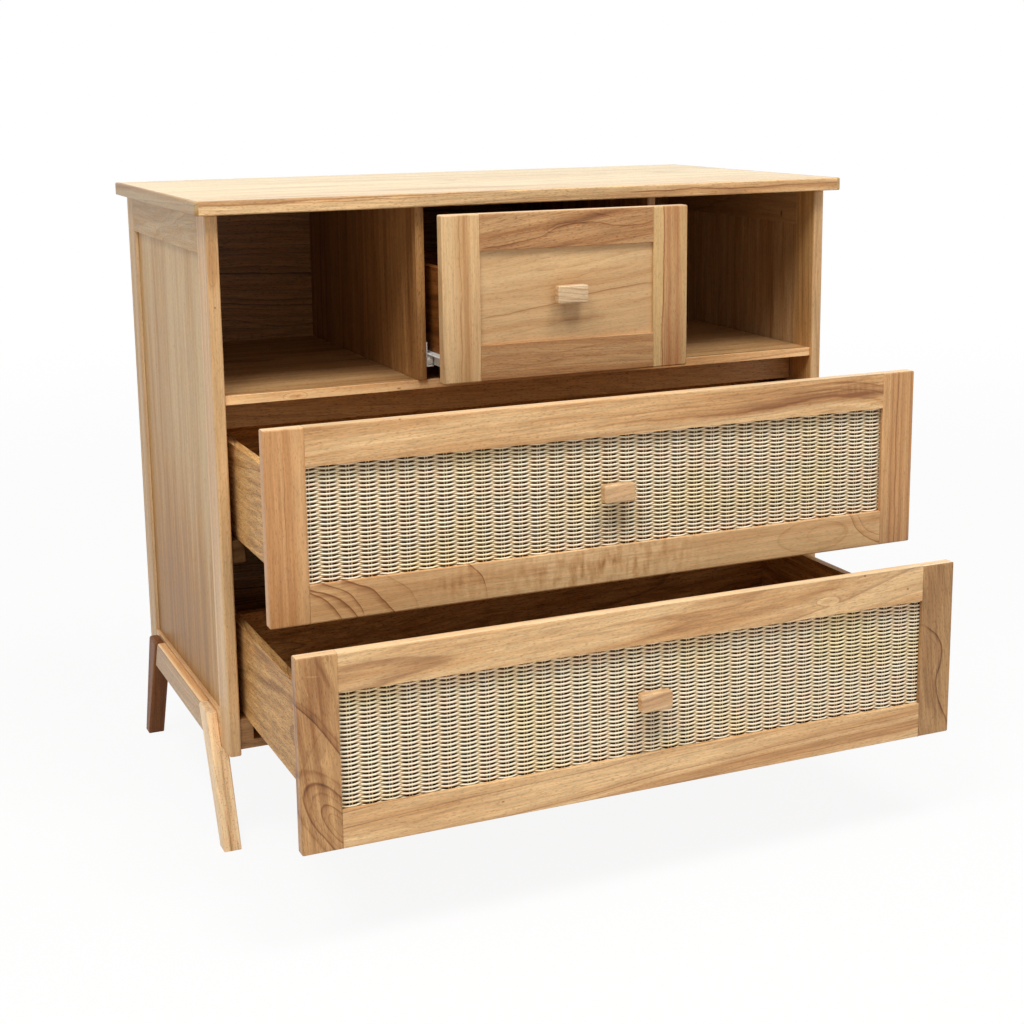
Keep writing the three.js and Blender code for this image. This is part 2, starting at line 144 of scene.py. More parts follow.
class Flow:
    """What comes out of a socket. Signs of arithmetic add the nodes that work them out."""

    def __init__(self, wires: Wiring, socket: bpy.types.NodeSocket) -> None:
        """Keeps the socket and the wiring it belongs to."""
        self.wires = wires
        self.socket = socket

    def sign(self, operation: str, other: object) -> Flow:
        """Adds the node of one sign.

        Args:
            operation: What the node does.
            other: The second term.

        Returns:
            The result, which is a vector where this is one.
        """
        is_vector = self.socket.type in ("VECTOR", "RGBA")
        return (self.wires.vector if is_vector else self.wires.math)(operation, self, other)

    def __add__(self, other: object) -> Flow:
        """Returns the sum."""
        return self.sign("ADD", other)

    def __sub__(self, other: object) -> Flow:
        """Returns the difference."""
        return self.sign("SUBTRACT", other)

    def __mul__(self, other: object) -> Flow:
        """Returns the product, part by part for a vector."""
        return self.sign("MULTIPLY", other)

    def __truediv__(self, other: object) -> Flow:
        """Returns the quotient."""
        return self.sign("DIVIDE", other)


class Wiring:
    """Adds nodes to a tree and wires them up."""

    def __init__(self, tree: bpy.types.NodeTree) -> None:
        """Keeps the tree that the nodes go into."""
        self.tree = tree

    def add(self, kind: str, feeds: dict | None = None, **settings: object) -> bpy.types.Node:
        """Adds one node.

        Args:
            kind: The node's type name.
            feeds: What each input gets, by name or number.
            settings: The node's own options.

        Returns:
            The new node.
        """
        node = self.tree.nodes.new(kind)
        for name, value in settings.items():
            setattr(node, name, value)
        for socket, value in (feeds or {}).items():
            self.feed(node.inputs[socket], value)
        return node

    def out(self, kind: str, feeds: dict | None = None, output: int | str = 0, **settings: object) -> Flow:
        """Adds one node for the sake of one output.

        Args:
            kind: The node's type name.
            feeds: What each input gets, by name or number.
            output: The output's name or number.
            settings: The node's own options.

        Returns:
            What comes out of it.
        """
        return Flow(self, self.add(kind, feeds, **settings).outputs[output])

    def feed(self, socket: bpy.types.NodeSocket, value: object) -> None:
        """Links an input to a flow, or sets its own value.

        Args:
            socket: The input.
            value: The flow or the value. One number is enough for a vector of three like ones.
        """
        if isinstance(value, Flow):
            self.tree.links.new(value.socket, socket)
        elif socket.type == "VECTOR" and isinstance(value, float):
            socket.default_value = (value,) * 3
        else:
            socket.default_value = value

    def math(self, operation: str, *values: object) -> Flow:
        """Works out one operation on numbers."""
        return self.out("ShaderNodeMath", dict(enumerate(values)), operation=operation)

    def vector(self, operation: str, *values: object) -> Flow:
        """Works out one operation on vectors."""
        output = "Value" if operation in ("LENGTH", "DOT_PRODUCT") else "Vector"
        return self.out("ShaderNodeVectorMath", dict(enumerate(values)), output, operation=operation)

    def blend(self, share: object, first: object, second: object) -> Flow:
        """Mixes two colours, from all of the first at 0 to all of the second at 1."""
        return self.out("ShaderNodeMix", {0: share, 6: first, 7: second}, 2, data_type="RGBA")

    def ramp(self, value: object, low: float, high: float, start: float = 0.0, end: float = 1.0) -> Flow:
        """Eases a value from start to end as it goes from low to high."""
        feeds = {"Value": value, "From Min": low, "From Max": high, "To Min": start, "To Max": end}
        return self.out("ShaderNodeMapRange", feeds, interpolation_type="SMOOTHSTEP")

    def peak(self, value: object, low: float, high: float, end: float) -> Flow:
        """Eases a value up from low to high, and down again to the end."""
        return self.ramp(value, low, high) * self.ramp(value, high, end, 1.0, 0.0)

    def clamped(self, value: object) -> Flow:
        """Holds a value between 0 and 1."""
        return self.out("ShaderNodeClamp", {"Value": value})

    def noise(self, place: object, scale: float = 1.0, detail: float = 2.0) -> Flow:
        """Returns a noise that reads a place."""
        return self.out("ShaderNodeTexNoise", {"Vector": place, "Scale": scale, "Detail": detail})

    def drift(self, place: object, scale: float, detail: float) -> Flow:
        """Returns a noise of three parts that each go up and down about 0."""
        feeds = {"Vector": place, "Scale": scale, "Detail": detail}
        return self.out("ShaderNodeTexNoise", feeds, "Color") - (0.5, 0.5, 0.5)

    def noise_along(self, value: object, scale: object, detail: float) -> Flow:
        """Returns a noise that reads one number."""
        feeds = {"W": value, "Scale": scale, "Detail": detail}
        return self.out("ShaderNodeTexNoise", feeds, noise_dimensions="1D")

    def place(self) -> Flow:
        """Returns the place on the object."""
        return self.out("ShaderNodeTexCoord", output="Object")

    def inside(self, place: object, middle: object, turn: object, reach: object = 1.0) -> Flow:
        """Returns a place as it lies in a box.

        Args:
            place: The place.
            middle: The middle of the box.
            turn: How the box is turned.
            reach: How far it goes each way.

        Returns:
            The place, in reaches of the box from its middle.
        """
        feeds = {"Vector": place, "Location": middle, "Rotation": turn, "Scale": reach}
        return self.out("ShaderNodeMapping", feeds, vector_type="TEXTURE")

    def packed(self, x: object = 0.0, y: object = 0.0, z: object = 0.0) -> Flow:
        """Makes a vector of its parts."""
        return self.out("ShaderNodeCombineXYZ", {0: x, 1: y, 2: z})

    def split(self, vector: object) -> tuple[Flow, ...]:
        """Returns the parts of a vector."""
        return tuple(Flow(self, part) for part in self.add("ShaderNodeSeparateXYZ", {0: vector}).outputs)

    def given(self) -> dict[str, Flow]:
        """Returns the inputs of a group by name."""
        return {socket.name: Flow(self, socket) for socket in self.add("NodeGroupInput").outputs}

    def seen(self) -> Flow:
        """Returns 1 for a ray from the camera, mirrored or not, and 0 for the others."""
        path = self.add("ShaderNodeLightPath").outputs
        rays = ("Camera", "Glossy", "Transmission")
        camera, glossy, through = (Flow(self, path[f"Is {ray} Ray"]) for ray in rays)
        return self.math("MAXIMUM", self.math("MAXIMUM", camera, glossy), through)


class Surface(Wiring):
    """A new material, with the wiring of its main shader."""

    def __init__(self, name: str) -> None:
        """Makes the material.

        Args:
            name: Its name.
        """
        self.material = bpy.data.materials.new(name)
        self.material.use_nodes = True
        super().__init__(self.material.node_tree)
        self.shader = self.tree.nodes["Principled BSDF"]

    def dress(self, feeds: dict[str, object]) -> bpy.types.Material:
        """Feeds the main shader.

        Args:
            feeds: What each of its inputs gets.

        Returns:
            The finished material.
        """
        for name, value in feeds.items():
            self.feed(self.shader.inputs[name], value)
        return self.material

    def bump(self, strength: float, distance: float, height: object) -> Flow:
        """Turns a height into a normal."""
        return self.out("ShaderNodeBump", {"Strength": strength, "Distance": distance, "Height": height})


def new_group(name: str, kind: str, inputs: dict[str, tuple], outputs: dict[str, tuple]) -> Wiring:
    """Makes a node group with named inputs and outputs.

    Args:
        name: The group's name.
        kind: The type of its tree.
        inputs: The names of its inputs, by the kind of socket.
        outputs: The names of its outputs, in the same way.

    Returns:
        The wiring of the group.
    """
    tree = bpy.data.node_groups.new(name, kind)
    for way, kinds in (("INPUT", inputs), ("OUTPUT", outputs)):
        for socket, names in kinds.items():
            for label in names:
                tree.interface.new_socket(name=label, in_out=way, socket_type=f"NodeSocket{socket}")
    return Wiring(tree)


@dataclass(frozen=True)
class WoodTone:
    """The display colours of one wood: its pale parts, its body and its growth lines."""

    pale: Colour
    body: Colour
    line: Colour


class Tone(Enum):
    """The tones that the boards of the chest come in."""

    CREAM = WoodTone((240, 216, 162), (224, 190, 132), (168, 122, 68))
    BLOND = WoodTone((232, 202, 160), (214, 178, 132), (160, 116, 76))
    HONEY = WoodTone((230, 190, 138), (206, 157, 104), (144, 92, 52))
    AMBER = WoodTone((218, 168, 114), (196, 139, 86), (128, 76, 40))
    RUSSET = WoodTone((222, 182, 124), (188, 128, 80), (118, 66, 36))
    UMBER = WoodTone((204, 156, 102), (158, 106, 60), (98, 58, 32))
    ASH = WoodTone((208, 175, 126), (180, 130, 64), (138, 94, 42))
    TAN = WoodTone((206, 160, 102), (178, 130, 76), (106, 68, 34))
    DUSK = WoodTone((184, 145, 98), (154, 111, 68), (82, 52, 28))
    # The inner tone is the same wood as the outside, painted darker for the shade inside the case; the bark
    # tone is painted shade on the rear legs and the small drawer's box.
    INNER = WoodTone((178, 130, 78), (148, 100, 54), (72, 40, 18))
    BARK = WoodTone((150, 92, 42), (124, 70, 26), (80, 42, 14))


@dataclass(frozen=True)
class Cut:
    """How a board was sawn from its log.

    The pith lies a side way off from the middle of the board's face and a depth below it. Tilt turns the
    grain in the face, and lean makes it dive into the board, both in degrees. Ring is the width of one year's
    growth. Warp, lines, bands and fibres say how strongly the rings wander, and how strongly the growth
    lines, the tone bands and the fine fibres show.
    """

    side: float
    depth: float
    tilt: float
    lean: float
    ring: float
    warp: float
    lines: float
    bands: float
    fibres: float = 1.0


class Figure(Enum):
    """The cuts that most boards have."""

    STRAIGHT = Cut(side=0.26, depth=0.05, tilt=0.3, lean=0.4, ring=0.0065, warp=0.012, lines=0.55, bands=0.9)
    RIBBON = Cut(side=0.12, depth=0.06, tilt=1.2, lean=1.0, ring=0.0090, warp=0.022, lines=0.70, bands=0.8)
    CATHEDRAL = Cut(side=0.012, depth=0.04, tilt=1.6, lean=3.0, ring=0.008, warp=0.024, lines=0.7, bands=0.7)
    BROAD = Cut(side=0.030, depth=0.110, tilt=0.8, lean=2.0, ring=0.0090, warp=0.034, lines=0.50, bands=0.7)
    PLAIN = Cut(side=0.20, depth=0.20, tilt=0.5, lean=0.5, ring=0.0060, warp=0.010, lines=0.30, bands=0.5)

    def cut(self, **changes: float) -> Cut:
        """Returns the cut, with some of its values changed."""
        return replace(self.value, **changes)


class GrowthRings:
    """The node group that draws rings, bands, fibres and pores through a board as one solid pattern.

    Each noise is stretched by its own cycles per metre along the grain, across it and into the board.
    """

    NAME = "growth_rings"
    INPUTS = {
        "Vector": ("Pith", "Turn"),
        "Float": (
            "Shift", "Ring Width", "Warp", "Lines", "Bands", "Fibres", "Fleck", "Swell", "Shade", "Curl",
            "Brightness",
        ),
        "Color": ("Pale", "Body", "Line"),
    }
    OUTPUTS = {"Color": ("Color",), "Float": ("Roughness", "Relief")}
    SWAY = (2.2, 11.0, 11.0)
    CLOUD = (1.6, 9.0, 9.0)
    STREAK = (4.0, 110.0, 110.0)
    FIBRE = (18.0, 460.0, 460.0)
    RIPPLE = (120.0, 30.0, 30.0)
    RIPPLE_SLANT = (0.0, 0.35, 0.0)
    PORE = 950.0
    BAND_GAIN, CLOUD_GAIN, STREAK_GAIN, RIPPLE_GAIN = 3.2, 1.6, 1.7, 4.0
    MIDDLE_TONE = 0.45
    RADIAL = (0.0, 1.0, 1.0)
    UNEVEN_YEARS, YEARS_SCALE = 2.6, 40.0
    SHARP_RISE, SHARP_FALL, SOFT_SIDE = (0.80, 0.95), (0.955, 1.0), (0.2, 0.96, 1.0)
    SHARP, SOFT = 0.75, 0.28
    FAINTEST_LINE, LINE_RANGE = 0.12, 0.9
    BANDS_PER_RING = 0.6
    PORE_EDGE, PORE_DARK = (0.54, 0.72), 0.30
    FIBRE_DARK, FIBRE_LEVEL = 0.66, 0.29
    ROUGH, ROUGH_FIBRE, ROUGH_PORE = 0.44, 0.3, 0.15
    RELIEF_FIBRE, RELIEF_PORE, RELIEF_LINE = 0.6, 0.5, 0.15

    def group(self) -> bpy.types.NodeTree:
        """Builds the group, or returns the one that is there.

        Returns:
            The node group.
        """
        if self.NAME not in bpy.data.node_groups:
            self.wire(new_group(self.NAME, "ShaderNodeTree", self.INPUTS, self.OUTPUTS))
        return bpy.data.node_groups[self.NAME]

    def rings(self, wires: Wiring, given: dict[str, Flow], warped: Flow) -> tuple[Flow, Flow]:
        """Wires the growth lines, and the tone bands that run with them.

        Args:
            wires: The tree's wiring.
            given: The group's inputs.
            warped: The place in the log.

        Returns:
            How dark the line is, and the tone of the band.
        """
        radius = wires.vector("LENGTH", warped * self.RADIAL) + given["Swell"]
        seeded = radius + given["Shift"]
        uneven = wires.noise_along(seeded, self.YEARS_SCALE, 1.0)
        turns = radius / given["Ring Width"] + uneven * self.UNEVEN_YEARS
        phase = wires.math("FRACT", turns)
        count = wires.math("FLOOR", turns) + given["Shift"]
        draw = wires.out("ShaderNodeTexWhiteNoise", {"W": count}, noise_dimensions="1D")
        soft = wires.peak(phase, *self.SOFT_SIDE)
        thin = wires.ramp(phase, *self.SHARP_RISE) * wires.ramp(phase, *self.SHARP_FALL, 1.0, 0.0)
        line = (thin * self.SHARP + soft * self.SOFT) * (draw * draw * self.LINE_RANGE + self.FAINTEST_LINE)
        band_scale = wires.math("DIVIDE", self.BANDS_PER_RING, given["Ring Width"])
        return line, wires.noise_along(seeded, band_scale, 2.0)

    def wire(self, wires: Wiring) -> None:
        """Wires the pattern inside the group.

        Args:
            wires: The group's wiring.
        """
        given = wires.given()
        dark = given["Line"]
        local = wires.inside(wires.place(), given["Pith"], given["Turn"])
        warped = local + wires.drift(local * self.SWAY, 1.0, 4.0) * self.RADIAL * given["Warp"]
        line, band = self.rings(wires, given, warped)

        cloud = wires.noise(local * self.CLOUD, detail=1.0)
        streak = wires.noise(warped * self.STREAK, detail=3.0)
        fibre = wires.noise(warped * self.FIBRE, detail=3.0)
        ripple = wires.noise((warped + warped * self.RIPPLE_SLANT) * self.RIPPLE)
        pore_field = wires.noise(local * wires.packed(given["Fleck"], self.PORE, self.PORE), detail=1.0)
        pore = wires.ramp(pore_field, *self.PORE_EDGE)

        tone = given["Shade"] + self.MIDDLE_TONE
        for part, strength, gain in (
            (band, given["Bands"], self.BAND_GAIN),
            (cloud, self.CLOUD_GAIN, 1.0),
            (streak, given["Fibres"], self.STREAK_GAIN),
            (ripple, given["Curl"], self.RIPPLE_GAIN),
        ):
            tone = (part - 0.5) * strength * gain + tone
        ground = wires.blend(wires.clamped(tone), given["Pale"], given["Body"])
        deep = wires.blend(wires.clamped(tone - 1.0), ground, dark)
        lined = wires.blend(line * given["Lines"], deep, dark)
        pored = wires.blend(pore * (given["Fibres"] * self.PORE_DARK), lined, dark)
        grainy = (fibre * self.FIBRE_DARK - self.FIBRE_LEVEL) * given["Fibres"] + 1.0
        wires.add("NodeGroupOutput", {
            "Color": pored * (grainy * given["Brightness"]),
            "Roughness": pore * self.ROUGH_PORE + ((fibre - 0.5) * self.ROUGH_FIBRE + self.ROUGH),
            "Relief": fibre * self.RELIEF_FIBRE - pore * self.RELIEF_PORE - line * self.RELIEF_LINE,
        })


@dataclass(frozen=True)
class Mark:
    """A place on a board where its rings swell or its tone changes: a knot, an eye, a streak or a stain.

    It is placed from the middle of the board's face, along and across the grain and under the face, and has a
    reach in each of the three. Rim draws one growth line round it, curl ripples the grain inside it and turn
    turns it in the face, in degrees. A mark shorter than the smallest stays crisp.
    """

    along: float
    across: float
    length: float
    width: float
    swell: float = 0.0
    shade: float = 0.0
    rim: float = 0.0
    curl: float = 0.0
    turn: float = 0.0
    under: float = 0.0
    deep: float = 0.06

    SMALLEST = 0.01
    RIM_WIDTH, RIM_SHARP, RIM_SOFT = 0.07, 0.6, 0.4
    RIM_WITHIN, RIM_BEYOND = 0.75, 1.05

    def rim_line(self, wires: Wiring, reach: Flow) -> Flow:
        """Wires the growth line round the mark: sharp, with a soft side within.

        Args:
            wires: The material's wiring.
            reach: The distance from the middle, in reaches of the mark.

        Returns:
            How dark the line is.
        """
        away = wires.math("ABSOLUTE", reach - 1.0)
        sharp = wires.ramp(away, 0.0, self.RIM_WIDTH, self.RIM_SHARP, 0.0)
        end = wires.ramp(reach, 1.0, self.RIM_BEYOND, self.RIM_SOFT, 0.0)
        return sharp + wires.ramp(reach, self.RIM_WITHIN, 1.0) * end


def stripe(across: float, width: float, shade: float, turn: float = 0.0) -> Mark:
    """Returns a streak that runs all along a board."""
    return Mark(0.0, across, ALL_ALONG, width, shade=shade, turn=turn)


@dataclass(frozen=True)
class Vein:
    """A growth line that wanders over a board: sharp on one side and fading away on the other.

    Its points go along and across the grain from the middle of the face, in millimetres. Width is the sharp
    line's, and fade the reach of its soft side, which is the far side across the grain where it is positive.
    """

    points: tuple[tuple[float, float], ...]
    shade: float
    width: float = 1.2
    fade: float = 6.0

    SHARP, SOFT = 0.55, 0.45
    TAPER = 0.06

    def drawn(self, wires: Wiring, along: Flow, across: Flow) -> Flow:
        """Wires how much the line darkens the board.

        Args:
            wires: The material's wiring.
            along: The place along the grain, in metres.
            across: The place across it.

        Returns:
            The change of tone.
        """
        start, end = self.points[0][0], self.points[-1][0]
        low = min(point[1] for point in self.points)
        rise = max(point[1] for point in self.points) - low
        progress = (along - start * MM) / ((end - start) * MM)
        curve = wires.add("ShaderNodeFloatCurve", {"Value": progress})
        course = curve.mapping.curves[0].points
        for place, point in enumerate(self.points):
            spot = ((point[0] - start) / (end - start), (point[1] - low) / rise)
            if place < 2:
                course[place].location = spot
            else:
                course.new(*spot)
        curve.mapping.update()
        away = across - (Flow(wires, curve.outputs[0]) * (rise * MM) + low * MM)
        beyond = away * math.copysign(1.0, self.fade)
        width, fade = self.width * MM, abs(self.fade) * MM
        thin = wires.ramp(wires.math("ABSOLUTE", away), 0.0, width, self.SHARP, 0.0)
        soft = wires.ramp(beyond, 0.0, fade, self.SOFT, 0.0) * wires.ramp(beyond, -width, 0.0)
        ends = wires.ramp(progress, 0.0, self.TAPER) * wires.ramp(progress, 1.0 - self.TAPER, 1.0, 1.0, 0.0)
        return ends * self.shade * (thin + soft)


@dataclass(frozen=True)
class WoodFinish:
    """Clear-lacquered wood on one board, with its own cut from the log and its own marks."""

    tone: Tone
    cut: Cut
    grain: Vector
    face: Vector
    brightness: float = 1.0
    marks: tuple[Mark, ...] = ()
    gloss: float = 0.15
    fleck: float = 170.0
    veins: tuple[Vein, ...] = ()

    WOBBLE, WOBBLE_SCALE = 0.010, 16.0
    LOG_ENDS, SHIFTS = (-3.0, 3.0), (0.0, 50.0)
    COAT_ROUGHNESS = 0.28
    DULL, SHINIEST = 0.15, 0.5
    RELIEF_STRENGTH, RELIEF_HEIGHT = 0.35, 0.4 * MM

    def axes(self) -> Matrix:
        """Works out the board's own axes.

        Returns:
            The axes along the grain, across it and out of the face, as columns.
        """
        along = self.grain.normalized()
        normal = (self.face - self.face.project(along)).normalized()
        return Matrix((along, normal.cross(along), normal)).transposed()

    def marked(self, wires: Wiring, middle: Vector) -> tuple[object, object, object]:
        """Wires the board's marks and veins.

        Args:
            wires: The material's wiring.
            middle: The middle of the board's seen face.

        Returns:
            How far the rings swell, how much the tone changes and how strongly the grain ripples.
        """
        axes = self.axes()
        place = wires.place()
        loose = place + wires.drift(place, self.WOBBLE_SCALE, 3.0) * self.WOBBLE
        swell: object = 0.0
        shade: object = 0.0
        curl: object = 0.0
        for mark in self.marks:
            spot = middle + axes @ Vector((mark.along, mark.across, -mark.under))
            turn = (axes @ Matrix.Rotation(math.radians(mark.turn), 3, "Z")).to_euler()
            field = place if mark.length < mark.SMALLEST else loose
            size = (mark.length, mark.width, mark.deep)
            reach = wires.vector("LENGTH", wires.inside(field, spot, turn, size))
            soft = wires.ramp(reach, 0.0, 1.0, 1.0, 0.0)
            swell = soft * mark.swell + swell
            shade = soft * mark.shade + shade
            if mark.rim:
                shade = mark.rim_line(wires, reach) * mark.rim + shade
            if mark.curl:
                curl = soft * mark.curl + curl
        if self.veins:
            along, across, _ = wires.split(wires.inside(loose, middle, axes.to_euler()))
            for vein in self.veins:
                shade = vein.drawn(wires, along, across) + shade
        return swell, shade, curl

    def material(self, name: str, middle: Vector) -> bpy.types.Material:
        """Makes the board's material.

        Args:
            name: The board's name, which also seeds its small differences.
            middle: The middle of the board's seen face.

        Returns:
            The material.
        """
        draw = random.Random(name)
        cut, tone = self.cut, self.tone.value
        tilt = Matrix.Rotation(math.radians(cut.tilt), 3, "Z")
        lean = Matrix.Rotation(math.radians(cut.lean), 3, "Y")
        turn = self.axes() @ tilt @ lean
        wires = Surface(f"{name}_wood")
        swell, shade, curl = self.marked(wires, middle)
        given = {
            "Pith": middle + turn @ Vector((draw.uniform(*self.LOG_ENDS), cut.side, -cut.depth)),
            "Turn": turn.to_euler(),
            "Shift": draw.uniform(*self.SHIFTS),
            "Ring Width": cut.ring,
            "Warp": cut.warp,
            "Lines": cut.lines,
            "Bands": cut.bands,
            "Fibres": cut.fibres,
            "Fleck": self.fleck,
            "Swell": swell,
            "Shade": shade,
            "Curl": curl,
            "Brightness": self.brightness,
            "Pale": linear(tone.pale),
            "Body": linear(tone.body),
            "Line": linear(tone.line),
        }
        rings = wires.add("ShaderNodeGroup", given, node_tree=GrowthRings().group())
        colour, roughness, relief = (Flow(wires, output) for output in rings.outputs)
        return wires.dress({
            "Coat Weight": self.gloss,
            "Coat Roughness": self.COAT_ROUGHNESS,
            "Specular IOR Level": min(self.SHINIEST, self.DULL + self.gloss),
            "Base Color": colour,
            "Roughness": roughness,
            "Normal": wires.bump(self.RELIEF_STRENGTH, self.RELIEF_HEIGHT, relief),
        })


@dataclass(frozen=True)
class ReedFinish:
    """Bare rattan reed, cream where it comes forward, with painted shade where it dips back and on its
    underside.
    """

    front: Colour = (253, 243, 214)
    blush: Colour = (246, 226, 198)
    straw: Colour = (248, 232, 176)
    # The next three colours are painted shade: for a reed half dipped, dipped behind the stakes, and on its
    # underside.
    crossing: Colour = (232, 208, 164)
    back: Colour = (126, 88, 48)
    under: Colour = (166, 122, 72)
    roughness: float = 0.55

    PATCH = (20.0, 20.0, 30.0)
    SUN = (7.0, 7.0, 9.0)
    THREAD = (60.0, 1400.0, 1400.0)
    PATCH_SHARE, TONE_SHARE, SHADE_LEVEL = 1.1, 0.6, 0.42
    BLUSH_FADE, CROSSING_FADE, BACK_FADE = (0.2, 0.8), (-0.6, 0.2), (0.15, 0.8)
    STRAW_FADE, STRAW_MOST = (0.48, 0.66), 0.6
    UNDER_FADE, UNDER_MOST = (0.0, 0.95), 0.55
    DULLEST, TONE_LIGHT, THREAD_DARK = 0.95, 0.20, 0.5
    THREAD_ROUGH = 0.2
    THREAD_STRENGTH, THREAD_HEIGHT = 0.4, 0.3 * MM

    def material(self, name: str) -> bpy.types.Material:
        """Makes the reed material.

        Args:
            name: The material's name.

        Returns:
            The material.
        """
        wires = Surface(name)
        dip, tone = (
            wires.out("ShaderNodeAttribute", output="Fac", attribute_name=kept) for kept in ("dip", "tone")
        )
        place = wires.place()
        patch, sun, thread = (wires.noise(place * stretch) for stretch in (self.PATCH, self.SUN, self.THREAD))
        shade = patch * self.PATCH_SHARE + (tone * self.TONE_SHARE - self.SHADE_LEVEL)
        normal = wires.out("ShaderNodeNewGeometry", output="Normal")
        lowness = wires.vector("DOT_PRODUCT", normal, DOWN)
        colour: object = linear(self.front)
        for share, layer in (
            (wires.ramp(shade, *self.BLUSH_FADE), self.blush),
            (wires.ramp(sun, *self.STRAW_FADE, 0.0, self.STRAW_MOST), self.straw),
            # These three layers are painted shade: deeper as a reed dips back, and on the underside of each
            # reed.
            (wires.ramp(dip, *self.CROSSING_FADE), self.crossing),
            (wires.ramp(lowness, *self.UNDER_FADE, 0.0, self.UNDER_MOST), self.under),
            (wires.ramp(dip, *self.BACK_FADE), self.back),
        ):
            colour = wires.blend(share, colour, linear(layer))
        bright = ((thread - 0.5) * self.THREAD_DARK + 1.0) * (tone * self.TONE_LIGHT + self.DULLEST)
        return wires.dress({
            "Specular IOR Level": 0.4,
            "Base Color": colour * bright,
            "Roughness": (thread - 0.5) * self.THREAD_ROUGH + self.roughness,
            "Normal": wires.bump(self.THREAD_STRENGTH, self.THREAD_HEIGHT, thread),
        })


@dataclass(frozen=True)
class CoatedFinish:
    """A smooth coat over board or sheet steel, with a faint orange-peel texture."""

    colour: Colour
    shade: Colour
    roughness: float
    grain: float

    CLOUD = 14.0
    PEEL_ROUGH, PEEL_STRENGTH, PEEL_HEIGHT = 0.15, 0.2, 0.2 * MM

    def material(self, name: str) -> bpy.types.Material:
        """Makes the coated material.

        Args:
            name: The material's name.

        Returns:
            The material.
        """
        wires = Surface(name)
        place = wires.place()
        cloud, peel = wires.noise(place, self.CLOUD, 3.0), wires.noise(place, self.grain)
        return wires.dress({
            "Base Color": wires.blend(cloud, linear(self.colour), linear(self.shade)),
            "Roughness": peel * self.PEEL_ROUGH + self.roughness,
            "Normal": wires.bump(self.PEEL_STRENGTH, self.PEEL_HEIGHT, peel),
        })


@dataclass(frozen=True)
class Box:
    """A box with sides along the axes."""

    low: Vector
    high: Vector

    NEAR = 0.02 * MM

    @classmethod
    def of(cls, *nodes: str) -> Box:
        """Measures some frame nodes.

        Args:
            nodes: Their names.

        Returns:
            The box round them all.
        """
        corners = [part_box(node) for node in nodes]
        low = Vector(min(corner[0][axis] for corner in corners) for axis in range(3))
        high = Vector(max(corner[1][axis] for corner in corners) for axis in range(3))
        return cls(low, high)

    @property
    def middle(self) -> Vector:
        """The middle of the box."""
        return (self.low + self.high) / 2

    @property
    def size(self) -> Vector:
        """The lengths of the box's sides."""
        return self.high - self.low

    def face_middle(self, direction: Vector) -> Vector:
        """Returns the middle of the face that looks in a direction."""
        half = self.size / 2
        return self.middle + Vector(direction[axis] * half[axis] for axis in range(3))

    def planes_of(self, *points: Vector) -> frozenset[Axis]:
        """Finds the faces that some points all lie on.

        Args:
            points: The points.

        Returns:
            The faces of the box whose planes hold them.
        """
        sides = {
            Axis.LEFT: (0, self.low), Axis.RIGHT: (0, self.high), Axis.FRONT: (1, self.low),
            Axis.BACK: (1, self.high), Axis.DOWN: (2, self.low), Axis.UP: (2, self.high),
        }
        return frozenset(
            side for side, (axis, corner) in sides.items()
            if all(abs(point[axis] - corner[axis]) < self.NEAR for point in points)
        )


@dataclass(frozen=True)
class Easing:
    """How far the edges of a board are rounded over: those of the assembly it belongs to, and its own."""

    assembly: Box | None = None
    perimeter: float = 0.0
    rear: float = 0.0
    arris: float = 0.5 * MM
    segments: int = 3

    def radius(self, own: Box, first: Vector, second: Vector) -> float:
        """Finds the rounding of one edge.

        Args:
            own: The board's own box.
            first: One end of the edge.
            second: The other end of the edge.

        Returns:
            The radius, or 0 for an edge that stays sharp.
        """
        if self.assembly:
            shared = self.assembly.planes_of(first, second)
            if len(shared) >= 2:
                return self.rear if Axis.BACK in shared else self.perimeter
        return self.arris if len(own.planes_of(first, second)) >= 2 else 0.0


